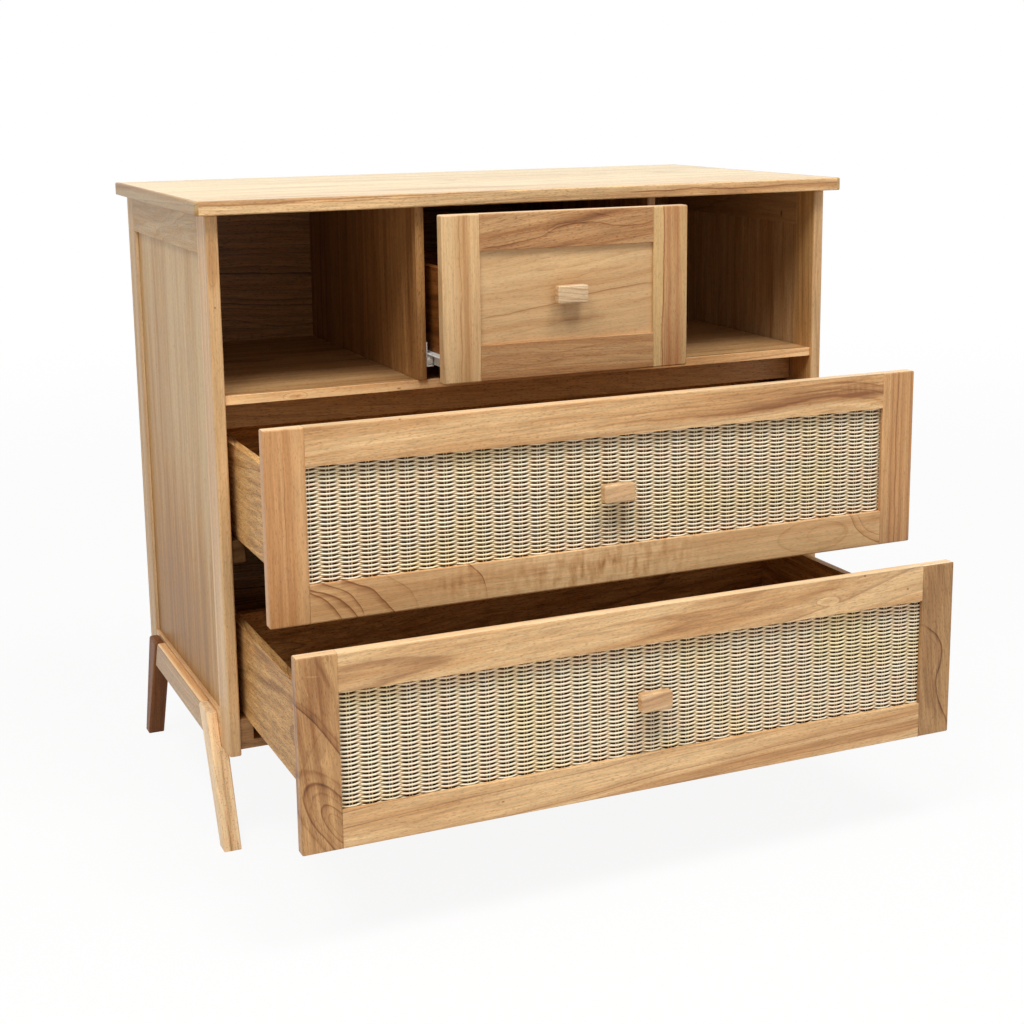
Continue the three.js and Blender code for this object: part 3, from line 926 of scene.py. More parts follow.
class Workshop:
    """Makes dressed pieces out of the frame's nodes."""

    FLAT_WIDTH = 1.8 * MM
    WELD = 0.005 * MM
    FLAT_ANGLE = math.radians(0.5)
    FACING = 0.72

    def __init__(self, frame: dict) -> None:
        """Keeps the frame, and each node's body and slot.

        Args:
            frame: The frame's nodes and its record.
        """
        self.frame = frame
        record = frame["record"]
        self.bodies = {node: body for body, nodes in record["behaviour"]["bodies"].items() for node in nodes}
        self.slots = {row["node"]: row["material_slot"] for row in record["subparts"]}

    def shape(self, node: str) -> bmesh.types.BMesh:
        """Copies a node's mesh, cleaned up.

        Args:
            node: The frame node.

        Returns:
            The shape, with its flat faces made whole.
        """
        shape = bmesh.new()
        shape.from_mesh(self.frame["nodes"][node].data)
        bmesh.ops.remove_doubles(shape, verts=shape.verts[:], dist=self.WELD)
        flat = {"verts": shape.verts[:], "edges": shape.edges[:]}
        bmesh.ops.dissolve_limit(shape, angle_limit=self.FLAT_ANGLE, **flat)
        return shape

    def shade(self, mesh: bpy.types.Mesh) -> None:
        """Shades wide faces flat and the narrow ones of an easing smooth.

        Args:
            mesh: The mesh.
        """
        for face in mesh.polygons:
            corners = [mesh.vertices[index].co for index in face.vertices]
            longest = max((a - b).length for a, b in zip(corners, corners[1:] + corners[:1]))
            face.use_smooth = face.area / longest < self.FLAT_WIDTH

    def plain_mesh(self, piece: bpy.types.Object) -> None:
        """Turns a piece with modifiers into a plain mesh.

        Args:
            piece: The piece.
        """
        graph = bpy.context.evaluated_depsgraph_get()
        final = piece.evaluated_get(graph)
        mesh = bpy.data.meshes.new_from_object(final, preserve_all_data_layers=True, depsgraph=graph)
        piece.modifiers.clear()
        piece.data = mesh

    def eased(self, node: str, easing: Easing) -> bpy.types.Object:
        """Copies a node with its edges rounded over.

        Args:
            node: The frame node.
            easing: How far its edges are rounded.

        Returns:
            The new piece, as a plain mesh.
        """
        shape = self.shape(node)
        own = Box.of(node)
        largest = max(easing.perimeter, easing.rear, easing.arris)
        weight = shape.edges.layers.float.new("bevel_weight_edge")
        for edge in shape.edges:
            if edge.is_convex:
                edge[weight] = easing.radius(own, *(corner.co for corner in edge.verts)) / largest
        return self.rounded(f"{node}_eased", shape, largest, easing.segments)

    def rounded(self, name: str, shape: bmesh.types.BMesh, width: float, segments: int) -> bpy.types.Object:
        """Rounds the weighted edges of a shape.

        Args:
            name: The piece's name.
            shape: The shape, with bevel weights on its edges. It is used up.
            width: The rounding of an edge of weight 1.
            segments: The steps of each rounding.

        Returns:
            The new piece, as a plain mesh.
        """
        piece = object_of(name, shape)
        bevel = piece.modifiers.new("easing", "BEVEL")
        bevel.limit_method = "WEIGHT"
        bevel.width = width
        bevel.segments = segments
        bevel.use_clamp_overlap = False
        self.plain_mesh(piece)
        self.shade(piece.data)
        return piece

    def finish(self, piece: bpy.types.Object, node: str, *materials: bpy.types.Material) -> None:
        """Gives a piece its materials, and lets it stand for its node.

        Args:
            piece: The new piece.
            node: The frame node that it replaces.
            materials: Its materials, in the order of its faces' slots.
        """
        slots = [face.material_index for face in piece.data.polygons]
        piece.data.materials.clear()
        for material in materials:
            piece.data.materials.append(material)
        if len(materials) > 1:
            piece.data.polygons.foreach_set("material_index", slots)
        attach(piece, self.bodies[node])
        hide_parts(node)
        LOG.info("%s stands for %s on %s", piece.name, node, self.bodies[node])

    def board(self, node: str, easing: Easing, *woods: WoodFinish | None) -> None:
        """Makes one wooden board.

        Args:
            node: The frame node.
            easing: How far its edges are rounded.
            woods: Its finishes, as for dress.
        """
        self.dress(self.eased(node, easing), node, *woods)

    def dress(
        self, piece: bpy.types.Object, node: str, wood: WoodFinish, other: WoodFinish | None = None
    ) -> None:
        """Puts one or two wood finishes on a piece.

        Args:
            piece: The piece.
            node: The frame node that it replaces.
            wood: Its finish.
            other: The finish of the faces that look the way this finish names, where they differ.
        """
        box = Box.of(node)
        materials = [wood.material(node, box.face_middle(wood.face))]
        if other:
            for face in piece.data.polygons:
                face.material_index = 1 if face.normal.dot(other.face) > self.FACING else 0
            materials.append(other.material(f"{node}_other", box.face_middle(other.face)))
        self.finish(piece, node, *materials)


@dataclass
class SideFrame:
    """One side of the case: two stiles, two rails and a floating panel."""

    workshop: Workshop
    hand: str
    outward: Vector
    corner_radius: float = 2.5 * MM
    rear_radius: float = 1.0 * MM
    arris: float = 0.7 * MM

    STILE_EDGE = -0.024

    def woods(self) -> dict[str, tuple[WoodFinish, WoodFinish]]:
        """Chooses the boards of the frame.

        Returns:
            The outer and the inner finish of each.
        """
        out, inward = self.outward, -self.outward
        drop = 0.013 * out.x
        screw_hole = (
            # The hole is not cut: its dark inside is painted shade and the pale crescent beside it a painted
            # highlight.
            Mark(-0.157, drop, 0.0070, 0.0066, shade=1.9, deep=3 * MM),
            Mark(-0.1535, drop, 0.0048, 0.0060, shade=-1.6, deep=3 * MM),
        )
        edge = self.STILE_EDGE
        stile_marks = (
            Mark(0.243, edge, 2.2 * MM, 1.6 * MM, shade=1.8, under=7.7 * MM, deep=1.8 * MM),
            Mark(0.30, edge, 0.06, 0.012, swell=0.006, shade=0.2, under=8 * MM, deep=0.012),
            Mark(-0.10, edge, 0.30, 0.006, shade=0.3, under=11 * MM, deep=0.003),
            # This mark lightens the low end of the front edge: painted light that lifts the shadow the
            # drawers cast there.
            Mark(-0.26, edge, 0.10, 0.010, shade=-0.6, under=8 * MM, deep=0.020),
        )
        wavy = Figure.BROAD.cut(ring=0.012, warp=0.045, lines=0.5, fibres=1.4)
        straight, broad = Figure.STRAIGHT.cut(), Figure.BROAD.cut()
        plain = Figure.STRAIGHT.cut(lines=0.4, bands=0.6)
        stile_light = 0.95 if self.hand == "left" else 0.88
        return {
            "front_stile": (
                WoodFinish(Tone.HONEY, plain, UP, out, stile_light, stile_marks),
                WoodFinish(Tone.TAN, Figure.RIBBON.cut(), UP, inward),
            ),
            "back_stile": (
                WoodFinish(Tone.ASH, straight, UP, out, brightness=1.05),
                WoodFinish(Tone.BLOND, straight, UP, FRONT, brightness=0.92),
            ),
            "top_rail": (
                WoodFinish(Tone.ASH, wavy, BACK, out, brightness=0.92, gloss=0.1),
                WoodFinish(Tone.DUSK, broad, BACK, inward, marks=screw_hole, gloss=0.05),
            ),
            "bottom_rail": (
                WoodFinish(Tone.HONEY, straight, BACK, out, brightness=1.10),
                WoodFinish(Tone.DUSK, broad, BACK, inward, gloss=0.05),
            ),
        }

    def panel_woods(self) -> tuple[WoodFinish, WoodFinish]:
        """Chooses the floating panel.

        Returns:
            Its outer and its inner finish.
        """
        stains = (
            # The first two marks make the panel paler at the top and darker at the bottom: a painted
            # reflection that fades downwards. The other three are streaks in the grain.
            Mark(0.18, -0.06, 0.36, 0.16, shade=-0.55),
            Mark(-0.28, 0.02, 0.36, 0.40, shade=1.0),
            Mark(0.02, 0.11, 0.40, 0.016, shade=0.30),
            Mark(-0.05, -0.02, 0.50, 0.014, shade=0.30),
            Mark(0.00, -0.10, 0.60, 0.010, shade=0.25),
        )
        wide = Figure.STRAIGHT.cut(ring=0.020, bands=0.34, lines=0.22, warp=0.030, fibres=1.15)
        return (
            WoodFinish(Tone.ASH, wide, UP, self.outward, marks=stains, gloss=0.08),
            WoodFinish(Tone.HONEY, replace(wide, fibres=1.5), UP, -self.outward, brightness=0.68, gloss=0.05),
        )

    def build(self) -> None:
        """Makes the boards of the side."""
        woods = {f"{self.hand}_{part}": pair for part, pair in self.woods().items()}
        easing = Easing(Box.of(*woods), self.corner_radius, self.rear_radius, self.arris)
        for node, pair in woods.items():
            self.workshop.board(node, easing, *pair)
        self.workshop.board(f"{self.hand}_side_panel", Easing(), *self.panel_woods())


@dataclass
class LegFrame:
    """Two splayed legs and the rail between them."""

    workshop: Workshop
    hand: str
    outward: Vector
    round_over: float = 4.0 * MM
    foot_share: float = 0.3
    inner_share: float = 0.45
    segments: int = 4

    def slope(self, node: str) -> Vector:
        """Works out from a leg's outline which way it leans.

        Args:
            node: The leg's frame node.

        Returns:
            The direction, upwards.
        """
        shape = self.workshop.shape(node)
        top = max(corner.co.z for corner in shape.verts)
        heads = [corner.co.y for corner in shape.verts if top - corner.co.z < MM]
        feet = [corner.co.y for corner in shape.verts if corner.co.z < MM]
        shape.free()
        return Vector((0.0, min(heads) + max(heads) - min(feet) - max(feet), 2 * top))

    def eased_leg(self, node: str) -> bpy.types.Object:
        """Copies a leg piece with its long edges, shoulders and foot rounded.

        Args:
            node: The frame node.

        Returns:
            The new piece.
        """
        own = Box.of(node)
        shape = self.workshop.shape(node)
        weight = shape.edges.layers.float.new("bevel_weight_edge")
        outer = Axis.LEFT if self.outward.x < 0 else Axis.RIGHT
        stands = own.low.z < MM
        shown = {outer, Axis.UP} if stands else {outer, Axis.FRONT, Axis.BACK}
        for edge in shape.edges:
            if not edge.is_convex:
                continue
            planes = own.planes_of(*(corner.co for corner in edge.verts))
            share = 1.0 if shown & planes else self.inner_share
            edge[weight] = self.foot_share if stands and Axis.DOWN in planes else share
        return self.workshop.rounded(f"{node}_eased", shape, self.round_over, self.segments)

    def build(self) -> None:
        """Makes the legs and their rail."""
        front, back, rail = (f"{self.hand}_{part}" for part in ("front_leg", "back_leg", "leg_rail"))
        out = self.outward
        marks = (
            Mark(-0.075, 0.003 if out.x < 0 else -0.003, 0.075, 0.0008, shade=1.4, deep=0.2),
            Mark(-0.09, 0.0, 0.05, 0.02, shade=0.3, deep=0.2),
        )
        speckled = Figure.STRAIGHT.cut(lines=0.3, bands=0.4, fibres=1.9)
        plain = Figure.STRAIGHT.cut(lines=0.4, fibres=1.6)
        run, back_run = self.slope(front), self.slope(back)
        woods = {
            front: (
                WoodFinish(Tone.BLOND, plain, run, out, brightness=1.22),
                WoodFinish(Tone.BLOND, speckled, run, FRONT, brightness=1.34, marks=marks, fleck=420.0),
            ),
            # The rear legs take a dark tone, darker still on the face that looks forward and down: painted
            # shade.
            back: (
                WoodFinish(Tone.BARK, plain, back_run, out, brightness=0.85, gloss=0.0),
                WoodFinish(Tone.BARK, plain, back_run, FRONT, brightness=0.66, gloss=0.0),
            ),
            # The rail's top face is far brighter than its outer face, in the same wood: a painted highlight
            # on the top and painted shade on the side.
            rail: (
                WoodFinish(Tone.HONEY, plain, BACK, out, brightness=0.72),
                WoodFinish(Tone.HONEY, Figure.STRAIGHT.cut(), BACK, UP, brightness=1.40),
            ),
        }
        for node, pair in woods.items():
            self.workshop.dress(self.eased_leg(node), node, *pair)


@dataclass
class TopBoard:
    """The top: a wide panel with a lipping along its front and both ends."""

    workshop: Workshop
    node: str = "top_board"
    lipping: float = 5.0 * MM
    radius: float = 2.0 * MM
    seam: float = 0.22 * MM
    segments: int = 4

    def shape(self, whole: Box) -> bmesh.types.BMesh:
        """Makes the panel and its three lippings, each in its own material slot.

        Args:
            whole: The box of the whole top.

        Returns:
            The shape, with bevel weights on its edges.
        """
        low, high, strip = whole.low, whole.high, self.lipping
        parts = (
            Box(Vector((low.x + strip, low.y + strip, low.z)), Vector((high.x - strip, high.y, high.z))),
            Box(Vector((low.x + strip, low.y, low.z)), Vector((high.x - strip, low.y + strip, high.z))),
            Box(low, Vector((low.x + strip, high.y, high.z))),
            Box(Vector((high.x - strip, low.y, low.z)), high),
        )
        shape = bmesh.new()
        for slot, part in enumerate(parts):
            place = Matrix.Translation(part.middle) @ Matrix.Diagonal((*part.size, 1.0))
            made = bmesh.ops.create_cube(shape, size=1.0, matrix=place)
            for face in {face for corner in made["verts"] for face in corner.link_faces}:
                face.material_index = slot
        weight = shape.edges.layers.float.new("bevel_weight_edge")
        for edge in shape.edges:
            outer = len(whole.planes_of(*(corner.co for corner in edge.verts))) >= 2
            edge[weight] = 1.0 if outer else self.seam / self.radius
        return shape

    def woods(self) -> tuple[WoodFinish, ...]:
        """Chooses the panel and its lippings.

        Returns:
            Their finishes: the panel, the front one, the left one and the right one.
        """
        streaks = (
            # The broad marks that darken the top towards the front and the front-left are partly its figure
            # and partly painted shade, for a weaker reflection there. The last three lines are the seams of
            # the lippings.
            Mark(-0.36, -0.20, 0.22, 0.10, shade=0.25),
            Mark(-0.30, 0.02, 0.30, 0.035, shade=-0.40),
            Mark(0.10, 0.02, 0.25, 0.020, shade=0.45),
            Mark(0.32, -0.12, 0.35, 0.018, shade=0.35),
            Mark(-0.12, -0.17, 0.40, 0.014, shade=0.40),
            stripe(-0.235, 0.090, 0.55),
            Mark(-0.14, -0.150, 0.16, 0.075, swell=0.006, shade=0.75),
            Mark(-0.4697, 0.0, 0.0008, ALL_ALONG, shade=1.3),
            Mark(0.4697, 0.0, 0.0008, ALL_ALONG, shade=1.3),
            Mark(0.0, -0.2482, 0.0008, ALL_ALONG, shade=1.3, turn=90.0),
        )
        front_lines = (
            Mark(-0.24, 0.0040, 0.30, 0.0012, shade=1.5),
            Mark(0.18, 0.0008, 0.32, 0.0013, shade=1.3),
            stripe(-0.0085, 0.003, -0.8),
            Mark(0.30, 0.0, 0.35, 0.02, shade=0.35),
        )
        plate = Figure.BROAD.cut(fibres=1.8, lines=0.7)
        vein = Figure.RIBBON.cut(tilt=0.5, lines=0.9, ring=0.010, warp=0.020, bands=1.0, fibres=1.6)
        return (
            WoodFinish(Tone.CREAM, plate, RIGHT, UP, marks=streaks, brightness=0.91, gloss=0.5),
            WoodFinish(Tone.HONEY, vein, RIGHT, FRONT, marks=front_lines, brightness=0.96),
            WoodFinish(Tone.ASH, Figure.RIBBON.cut(), BACK, LEFT, brightness=0.80),
            WoodFinish(Tone.ASH, Figure.RIBBON.cut(), BACK, RIGHT, brightness=0.86),
        )

    def build(self) -> None:
        """Makes the top and dresses its four boards."""
        whole = Box.of(self.node)
        piece = self.workshop.rounded(f"{self.node}_eased", self.shape(whole), self.radius, self.segments)
        dressed = [
            wood.material(f"{self.node}_{slot}", whole.face_middle(wood.face))
            for slot, wood in enumerate(self.woods())
        ]
        self.workshop.finish(piece, self.node, *dressed)


@dataclass
class CaseBoards:
    """The boards inside the case."""

    workshop: Workshop
    arris: float = 0.6 * MM
    shelf_thickness: float = 12 * MM

    def shelf(self) -> None:
        """Makes the shelf, whose front edge is a pale lipping, and the rail under it."""
        node = "cubby_shelf"
        box = Box.of(node)
        piece = self.workshop.eased(node, Easing(arris=self.arris))
        for face in piece.data.polygons:
            face.material_index = 1 if face.center.y < box.low.y + self.arris else 0
        front_edge = -box.size.y / 2
        marks = (
            # The first mark brightens the right of the shelf: a painted pool of light. The second lightens
            # the rail under the front edge, most at its foot and least just under the shelf: painted light,
            # its gradient a painted shade.
            Mark(0.34, 0.0, 0.20, 0.60, shade=-0.7),
            Mark(0.0, front_edge, ALL_ALONG, 0.200, shade=-0.90, under=0.050, deep=0.046),
            Mark(-0.305, front_edge, 0.0030, 0.0900, shade=1.5, under=0.022, deep=0.002),
        )
        knots = (
            Mark(-0.3496, -0.001, 0.016, 0.005, swell=0.012, shade=0.3, rim=0.8),
            Mark(-0.318, 0.001, 0.030, 0.004, swell=0.006, shade=0.2, rim=0.5, turn=6.0),
            Mark(-0.2058, -0.003, 0.005, 0.002, swell=0.003, shade=1.5),
            Mark(0.15, 0.0, 0.09, 0.006, swell=0.010, shade=0.4),
        )
        board = WoodFinish(Tone.DUSK, Figure.BROAD.cut(fibres=1.7), RIGHT, UP, marks=marks, brightness=1.1)
        edge = WoodFinish(Tone.HONEY, Figure.RIBBON.cut(), RIGHT, FRONT, marks=knots, brightness=1.36)
        lipping = Box(Vector((box.low.x, box.low.y, box.high.z - self.shelf_thickness)), box.high)
        materials = (
            board.material(node, box.face_middle(UP)),
            edge.material(f"{node}_edge", lipping.face_middle(FRONT)),
        )
        self.workshop.finish(piece, node, *materials)

    def build(self) -> None:
        """Makes the shelf, the partitions, the back, the bottom and the bearers."""
        self.shelf()
        broad, straight = Figure.BROAD.cut(fibres=1.6), Figure.STRAIGHT.cut()
        lined = Figure.RIBBON.cut(tilt=-2.0, lines=1.25, ring=0.0085, warp=0.034, bands=0.3, fibres=2.0)
        knot = (Mark(0.043, -0.078, 2.4 * MM, 2.0 * MM, swell=0.003, shade=1.6),)
        boards = {
            "left_partition": WoodFinish(Tone.INNER, broad, UP, LEFT, marks=knot),
            "right_partition": WoodFinish(Tone.INNER, broad, UP, RIGHT),
            "back_panel": WoodFinish(Tone.INNER, lined, RIGHT, FRONT, brightness=1.15),
            "bottom_board": WoodFinish(Tone.INNER, broad, RIGHT, UP, brightness=0.8),
            # The bearers are darkened almost to black: painted shade.
            "left_middle_bearer": WoodFinish(Tone.INNER, straight, BACK, RIGHT, brightness=0.3, gloss=0.0),
            "right_middle_bearer": WoodFinish(Tone.INNER, straight, BACK, LEFT, brightness=0.3, gloss=0.0),
        }
        for node, wood in boards.items():
            self.workshop.board(node, Easing(arris=self.arris), wood)


@dataclass
class WovenPanel:
    """A plain weave of round reed: weavers that pass in front of one pair of stakes and behind the next.

    The weavers shake by a fine noise and sag in bundles by a broad one. Both are in cycles per metre.
    """

    workshop: Workshop
    node: str
    first_pair: float
    seed: int
    row_pitch: float = 2.625 * MM
    stake_pitch: float = 25.0 * MM
    reed_radius: float = 1.35 * MM
    stake_radius: float = 0.8 * MM
    stake_spread: float = 3.5 * MM
    swing: float = 2.2 * MM
    sag: float = 0.85 * MM
    wander: float = 0.4 * MM
    tucked: float = 3.5 * MM
    steps: int = 7
    stake_steps: int = 13
    sides: int = 6

    NAME = "plain_weave"
    LENGTHS = (
        "First Pair", "Row Pitch", "Stake Pitch", "Reed Radius", "Stake Radius", "Stake Spread", "Swing",
        "Sag", "Wander",
    )
    COUNTS = ("Steps", "Stake Steps", "Sides", "Seed")
    SHAKE, SHAKE_STRETCH = 40.0, (1.0, 3.7, 7.3)
    BUNDLE_ALONG, BUNDLE_UP, BUNDLE_WANDER = 9.0, 26.0, 3.0
    STAKE_SHAKE_ALONG, STAKE_SHAKE_UP, STAKE_WANDER = 300.0, 30.0, 4.0
    STAKE_DIP = 0.05

    def tree(self) -> bpy.types.NodeTree:
        """Builds the weave's Geometry Nodes tree, or returns the one that is there.

        Returns:
            The node group.
        """
        if self.NAME not in bpy.data.node_groups:
            inputs = {
                "Geometry": ("Geometry",), "Float": ("Width", "Height", *self.LENGTHS), "Int": self.COUNTS,
                "Material": ("Material",),
            }
            wires = new_group(self.NAME, "GeometryNodeTree", inputs, {"Geometry": ("Geometry",)})
            given = wires.given()
            woven = self.joined(wires, self.weavers(wires, given), self.stakes(wires, given))
            smooth = wires.out("GeometryNodeSetShadeSmooth", {"Geometry": woven})
            real = wires.out("GeometryNodeRealizeInstances", {"Geometry": smooth})
            coated = wires.out("GeometryNodeSetMaterial", {"Geometry": real, "Material": given["Material"]})
            wires.add("NodeGroupOutput", {"Geometry": coated})
        return bpy.data.node_groups[self.NAME]

    def joined(self, wires: Wiring, *parts: Flow) -> Flow:
        """Joins pieces of geometry.

        Args:
            wires: The tree's wiring.
            parts: The pieces.

        Returns:
            All of them as one.
        """
        node = wires.add("GeometryNodeJoinGeometry")
        for part in parts:
            wires.feed(node.inputs[0], part)
        return Flow(wires, node.outputs[0])

    def points(self, wires: Wiring, count: Flow, start: Flow, offset: Flow) -> Flow:
        """Lays a line of points, each an offset from the one before."""
        feeds = {"Count": count, "Start Location": start, "Offset": offset}
        return wires.out("GeometryNodeMeshLine", feeds, mode="OFFSET")

    def strands(self, wires: Wiring, points: Flow, start: Flow, end: Flow, steps: Flow) -> Flow:
        """Lays one straight strand on every point.

        Args:
            wires: The tree's wiring.
            points: The points.
            start: Where a strand starts, from its point.
            end: Where it ends.
            steps: How many points it has.

        Returns:
            The strands, as curves.
        """
        line = wires.out("GeometryNodeCurvePrimitiveLine", {"Start": start, "End": end})
        finer = wires.out("GeometryNodeResampleCurve", {"Curve": line, "Count": steps})
        laid = wires.out("GeometryNodeInstanceOnPoints", {"Points": points, "Instance": finer})
        return wires.out("GeometryNodeRealizeInstances", {"Geometry": laid})

    def store(self, wires: Wiring, geometry: Flow, name: str, value: object) -> Flow:
        """Stores a number on every point under a name."""
        feeds = {"Geometry": geometry, "Name": name, "Value": value}
        return wires.out("GeometryNodeStoreNamedAttribute", feeds, data_type="FLOAT", domain="POINT")

    def rounded(self, wires: Wiring, curves: Flow, offset: Flow, radius: Flow, sides: Flow) -> Flow:
        """Moves strands into place and gives them their round section.

        Args:
            wires: The tree's wiring.
            curves: The strands.
            offset: How far each of their points moves.
            radius: The radius of the section.
            sides: The number of its sides.

        Returns:
            Their mesh.
        """
        moved = wires.out("GeometryNodeSetPosition", {"Geometry": curves, "Offset": offset})
        ring = wires.out("GeometryNodeCurvePrimitiveCircle", {"Resolution": sides, "Radius": radius})
        feeds = {"Curve": moved, "Profile Curve": ring, "Fill Caps": True}
        return wires.out("GeometryNodeCurveToMesh", feeds)

    def weavers(self, wires: Wiring, given: dict[str, Flow]) -> Flow:
        """Wires the weavers, each one half a beat off its neighbours.

        Args:
            wires: The tree's wiring.
            given: The group's inputs.

        Returns:
            The weavers' mesh.
        """
        pitch, beat, wander = given["Row Pitch"], given["Stake Pitch"], given["Wander"]
        rows = wires.math("FLOOR", given["Height"] / pitch)
        lowest = (rows - 1.0) * (pitch * -0.5)
        points = self.points(wires, rows, wires.packed(z=lowest), wires.packed(z=pitch))
        half = given["Width"] * 0.5
        steps = wires.math("CEIL", given["Width"] / beat * given["Steps"])
        curves = self.strands(wires, points, wires.packed(half * -1.0), wires.packed(half), steps)

        x, _, z = wires.split(wires.out("GeometryNodeInputPosition"))
        row = wires.math("ROUND", (z - lowest) / pitch)
        wave = wires.math("COSINE", ((x - given["First Pair"]) / beat + row) * math.pi)
        cubed = wires.math("POWER", wires.math("ABSOLUTE", wave), 3.0) * wires.math("SIGN", wave)
        dip = wave * 1.5 - cubed * 0.5

        shaken = wires.packed(x * self.SHAKE, row, given["Seed"]) * self.SHAKE_STRETCH
        lift = (wires.noise(shaken, detail=1.0) - 0.5) * wander
        bundle = wires.packed(x * self.BUNDLE_ALONG, given["Seed"], z * self.BUNDLE_UP)
        sagged = (wires.noise(bundle, detail=1.0) - 0.5) * (wander * self.BUNDLE_WANDER) + lift
        offset = wires.packed(y=dip * given["Swing"], z=sagged - dip * dip * given["Sag"])

        feeds = {"ID": wires.out("FunctionNodeFloatToInt", {0: row}), "Seed": given["Seed"]}
        dipped = self.store(wires, curves, "dip", dip)
        drawn = wires.out("FunctionNodeRandomValue", feeds, 1, data_type="FLOAT")
        toned = self.store(wires, dipped, "tone", drawn)
        return self.rounded(wires, toned, offset, given["Reed Radius"], given["Sides"])

    def stakes(self, wires: Wiring, given: dict[str, Flow]) -> Flow:
        """Wires the stakes, two to a pair.

        Args:
            wires: The tree's wiring.
            given: The group's inputs.

        Returns:
            The stakes' mesh.
        """
        pitch, first_pair, spread = given["Stake Pitch"], given["First Pair"], given["Stake Spread"]
        half_width = given["Width"] * 0.5
        before = wires.math("FLOOR", (half_width + first_pair - spread) / pitch)
        first = first_pair - before * pitch
        count = wires.math("FLOOR", (half_width - first - spread) / pitch) + 1.0
        pairs = (wires.packed(spread * hand + first) for hand in (0.5, -0.5))
        rows = self.joined(wires, *(self.points(wires, count, pair, wires.packed(pitch)) for pair in pairs))
        half = given["Height"] * 0.5
        curves = self.strands(
            wires, rows, wires.packed(z=half * -1.0), wires.packed(z=half), given["Stake Steps"]
        )
        x, _, z = wires.split(wires.out("GeometryNodeInputPosition"))
        shaken = wires.packed(x * self.STAKE_SHAKE_ALONG, given["Seed"], z * self.STAKE_SHAKE_UP)
        drift = wires.noise(shaken, detail=1.0)
        shift = (drift - 0.5) * (given["Wander"] * self.STAKE_WANDER)
        toned = self.store(wires, self.store(wires, curves, "dip", self.STAKE_DIP), "tone", drift)
        return self.rounded(wires, toned, wires.packed(shift), given["Stake Radius"], given["Sides"])

    def build(self, opening: Box, material: bpy.types.Material) -> None:
        """Makes the weave inside its frame.

        Args:
            opening: The opening of the drawer front, which the weave runs past on every side.
            material: The reed's material.
        """
        named = (*self.LENGTHS, *self.COUNTS)
        values = {name: getattr(self, name.lower().replace(" ", "_")) for name in named}
        values["Width"] = opening.size.x + 2 * self.tucked
        values["Height"] = opening.size.z + 2 * self.tucked
        values["Material"] = material
        name = f"{self.node}_reeds"
        piece = placed(name, bpy.data.meshes.new(name))
        modifier = piece.modifiers.new("weave", "NODES")
        modifier.node_group = self.tree()
        for item in modifier.node_group.interface.items_tree:
            if item.in_out == "INPUT" and item.name in values:
                modifier[item.identifier] = values[item.name]
        self.workshop.plain_mesh(piece)
        piece.data.transform(Matrix.Translation(Box.of(self.node).middle))
        LOG.info("%s has %d faces", piece.name, len(piece.data.polygons))
        self.workshop.finish(piece, self.node, material)


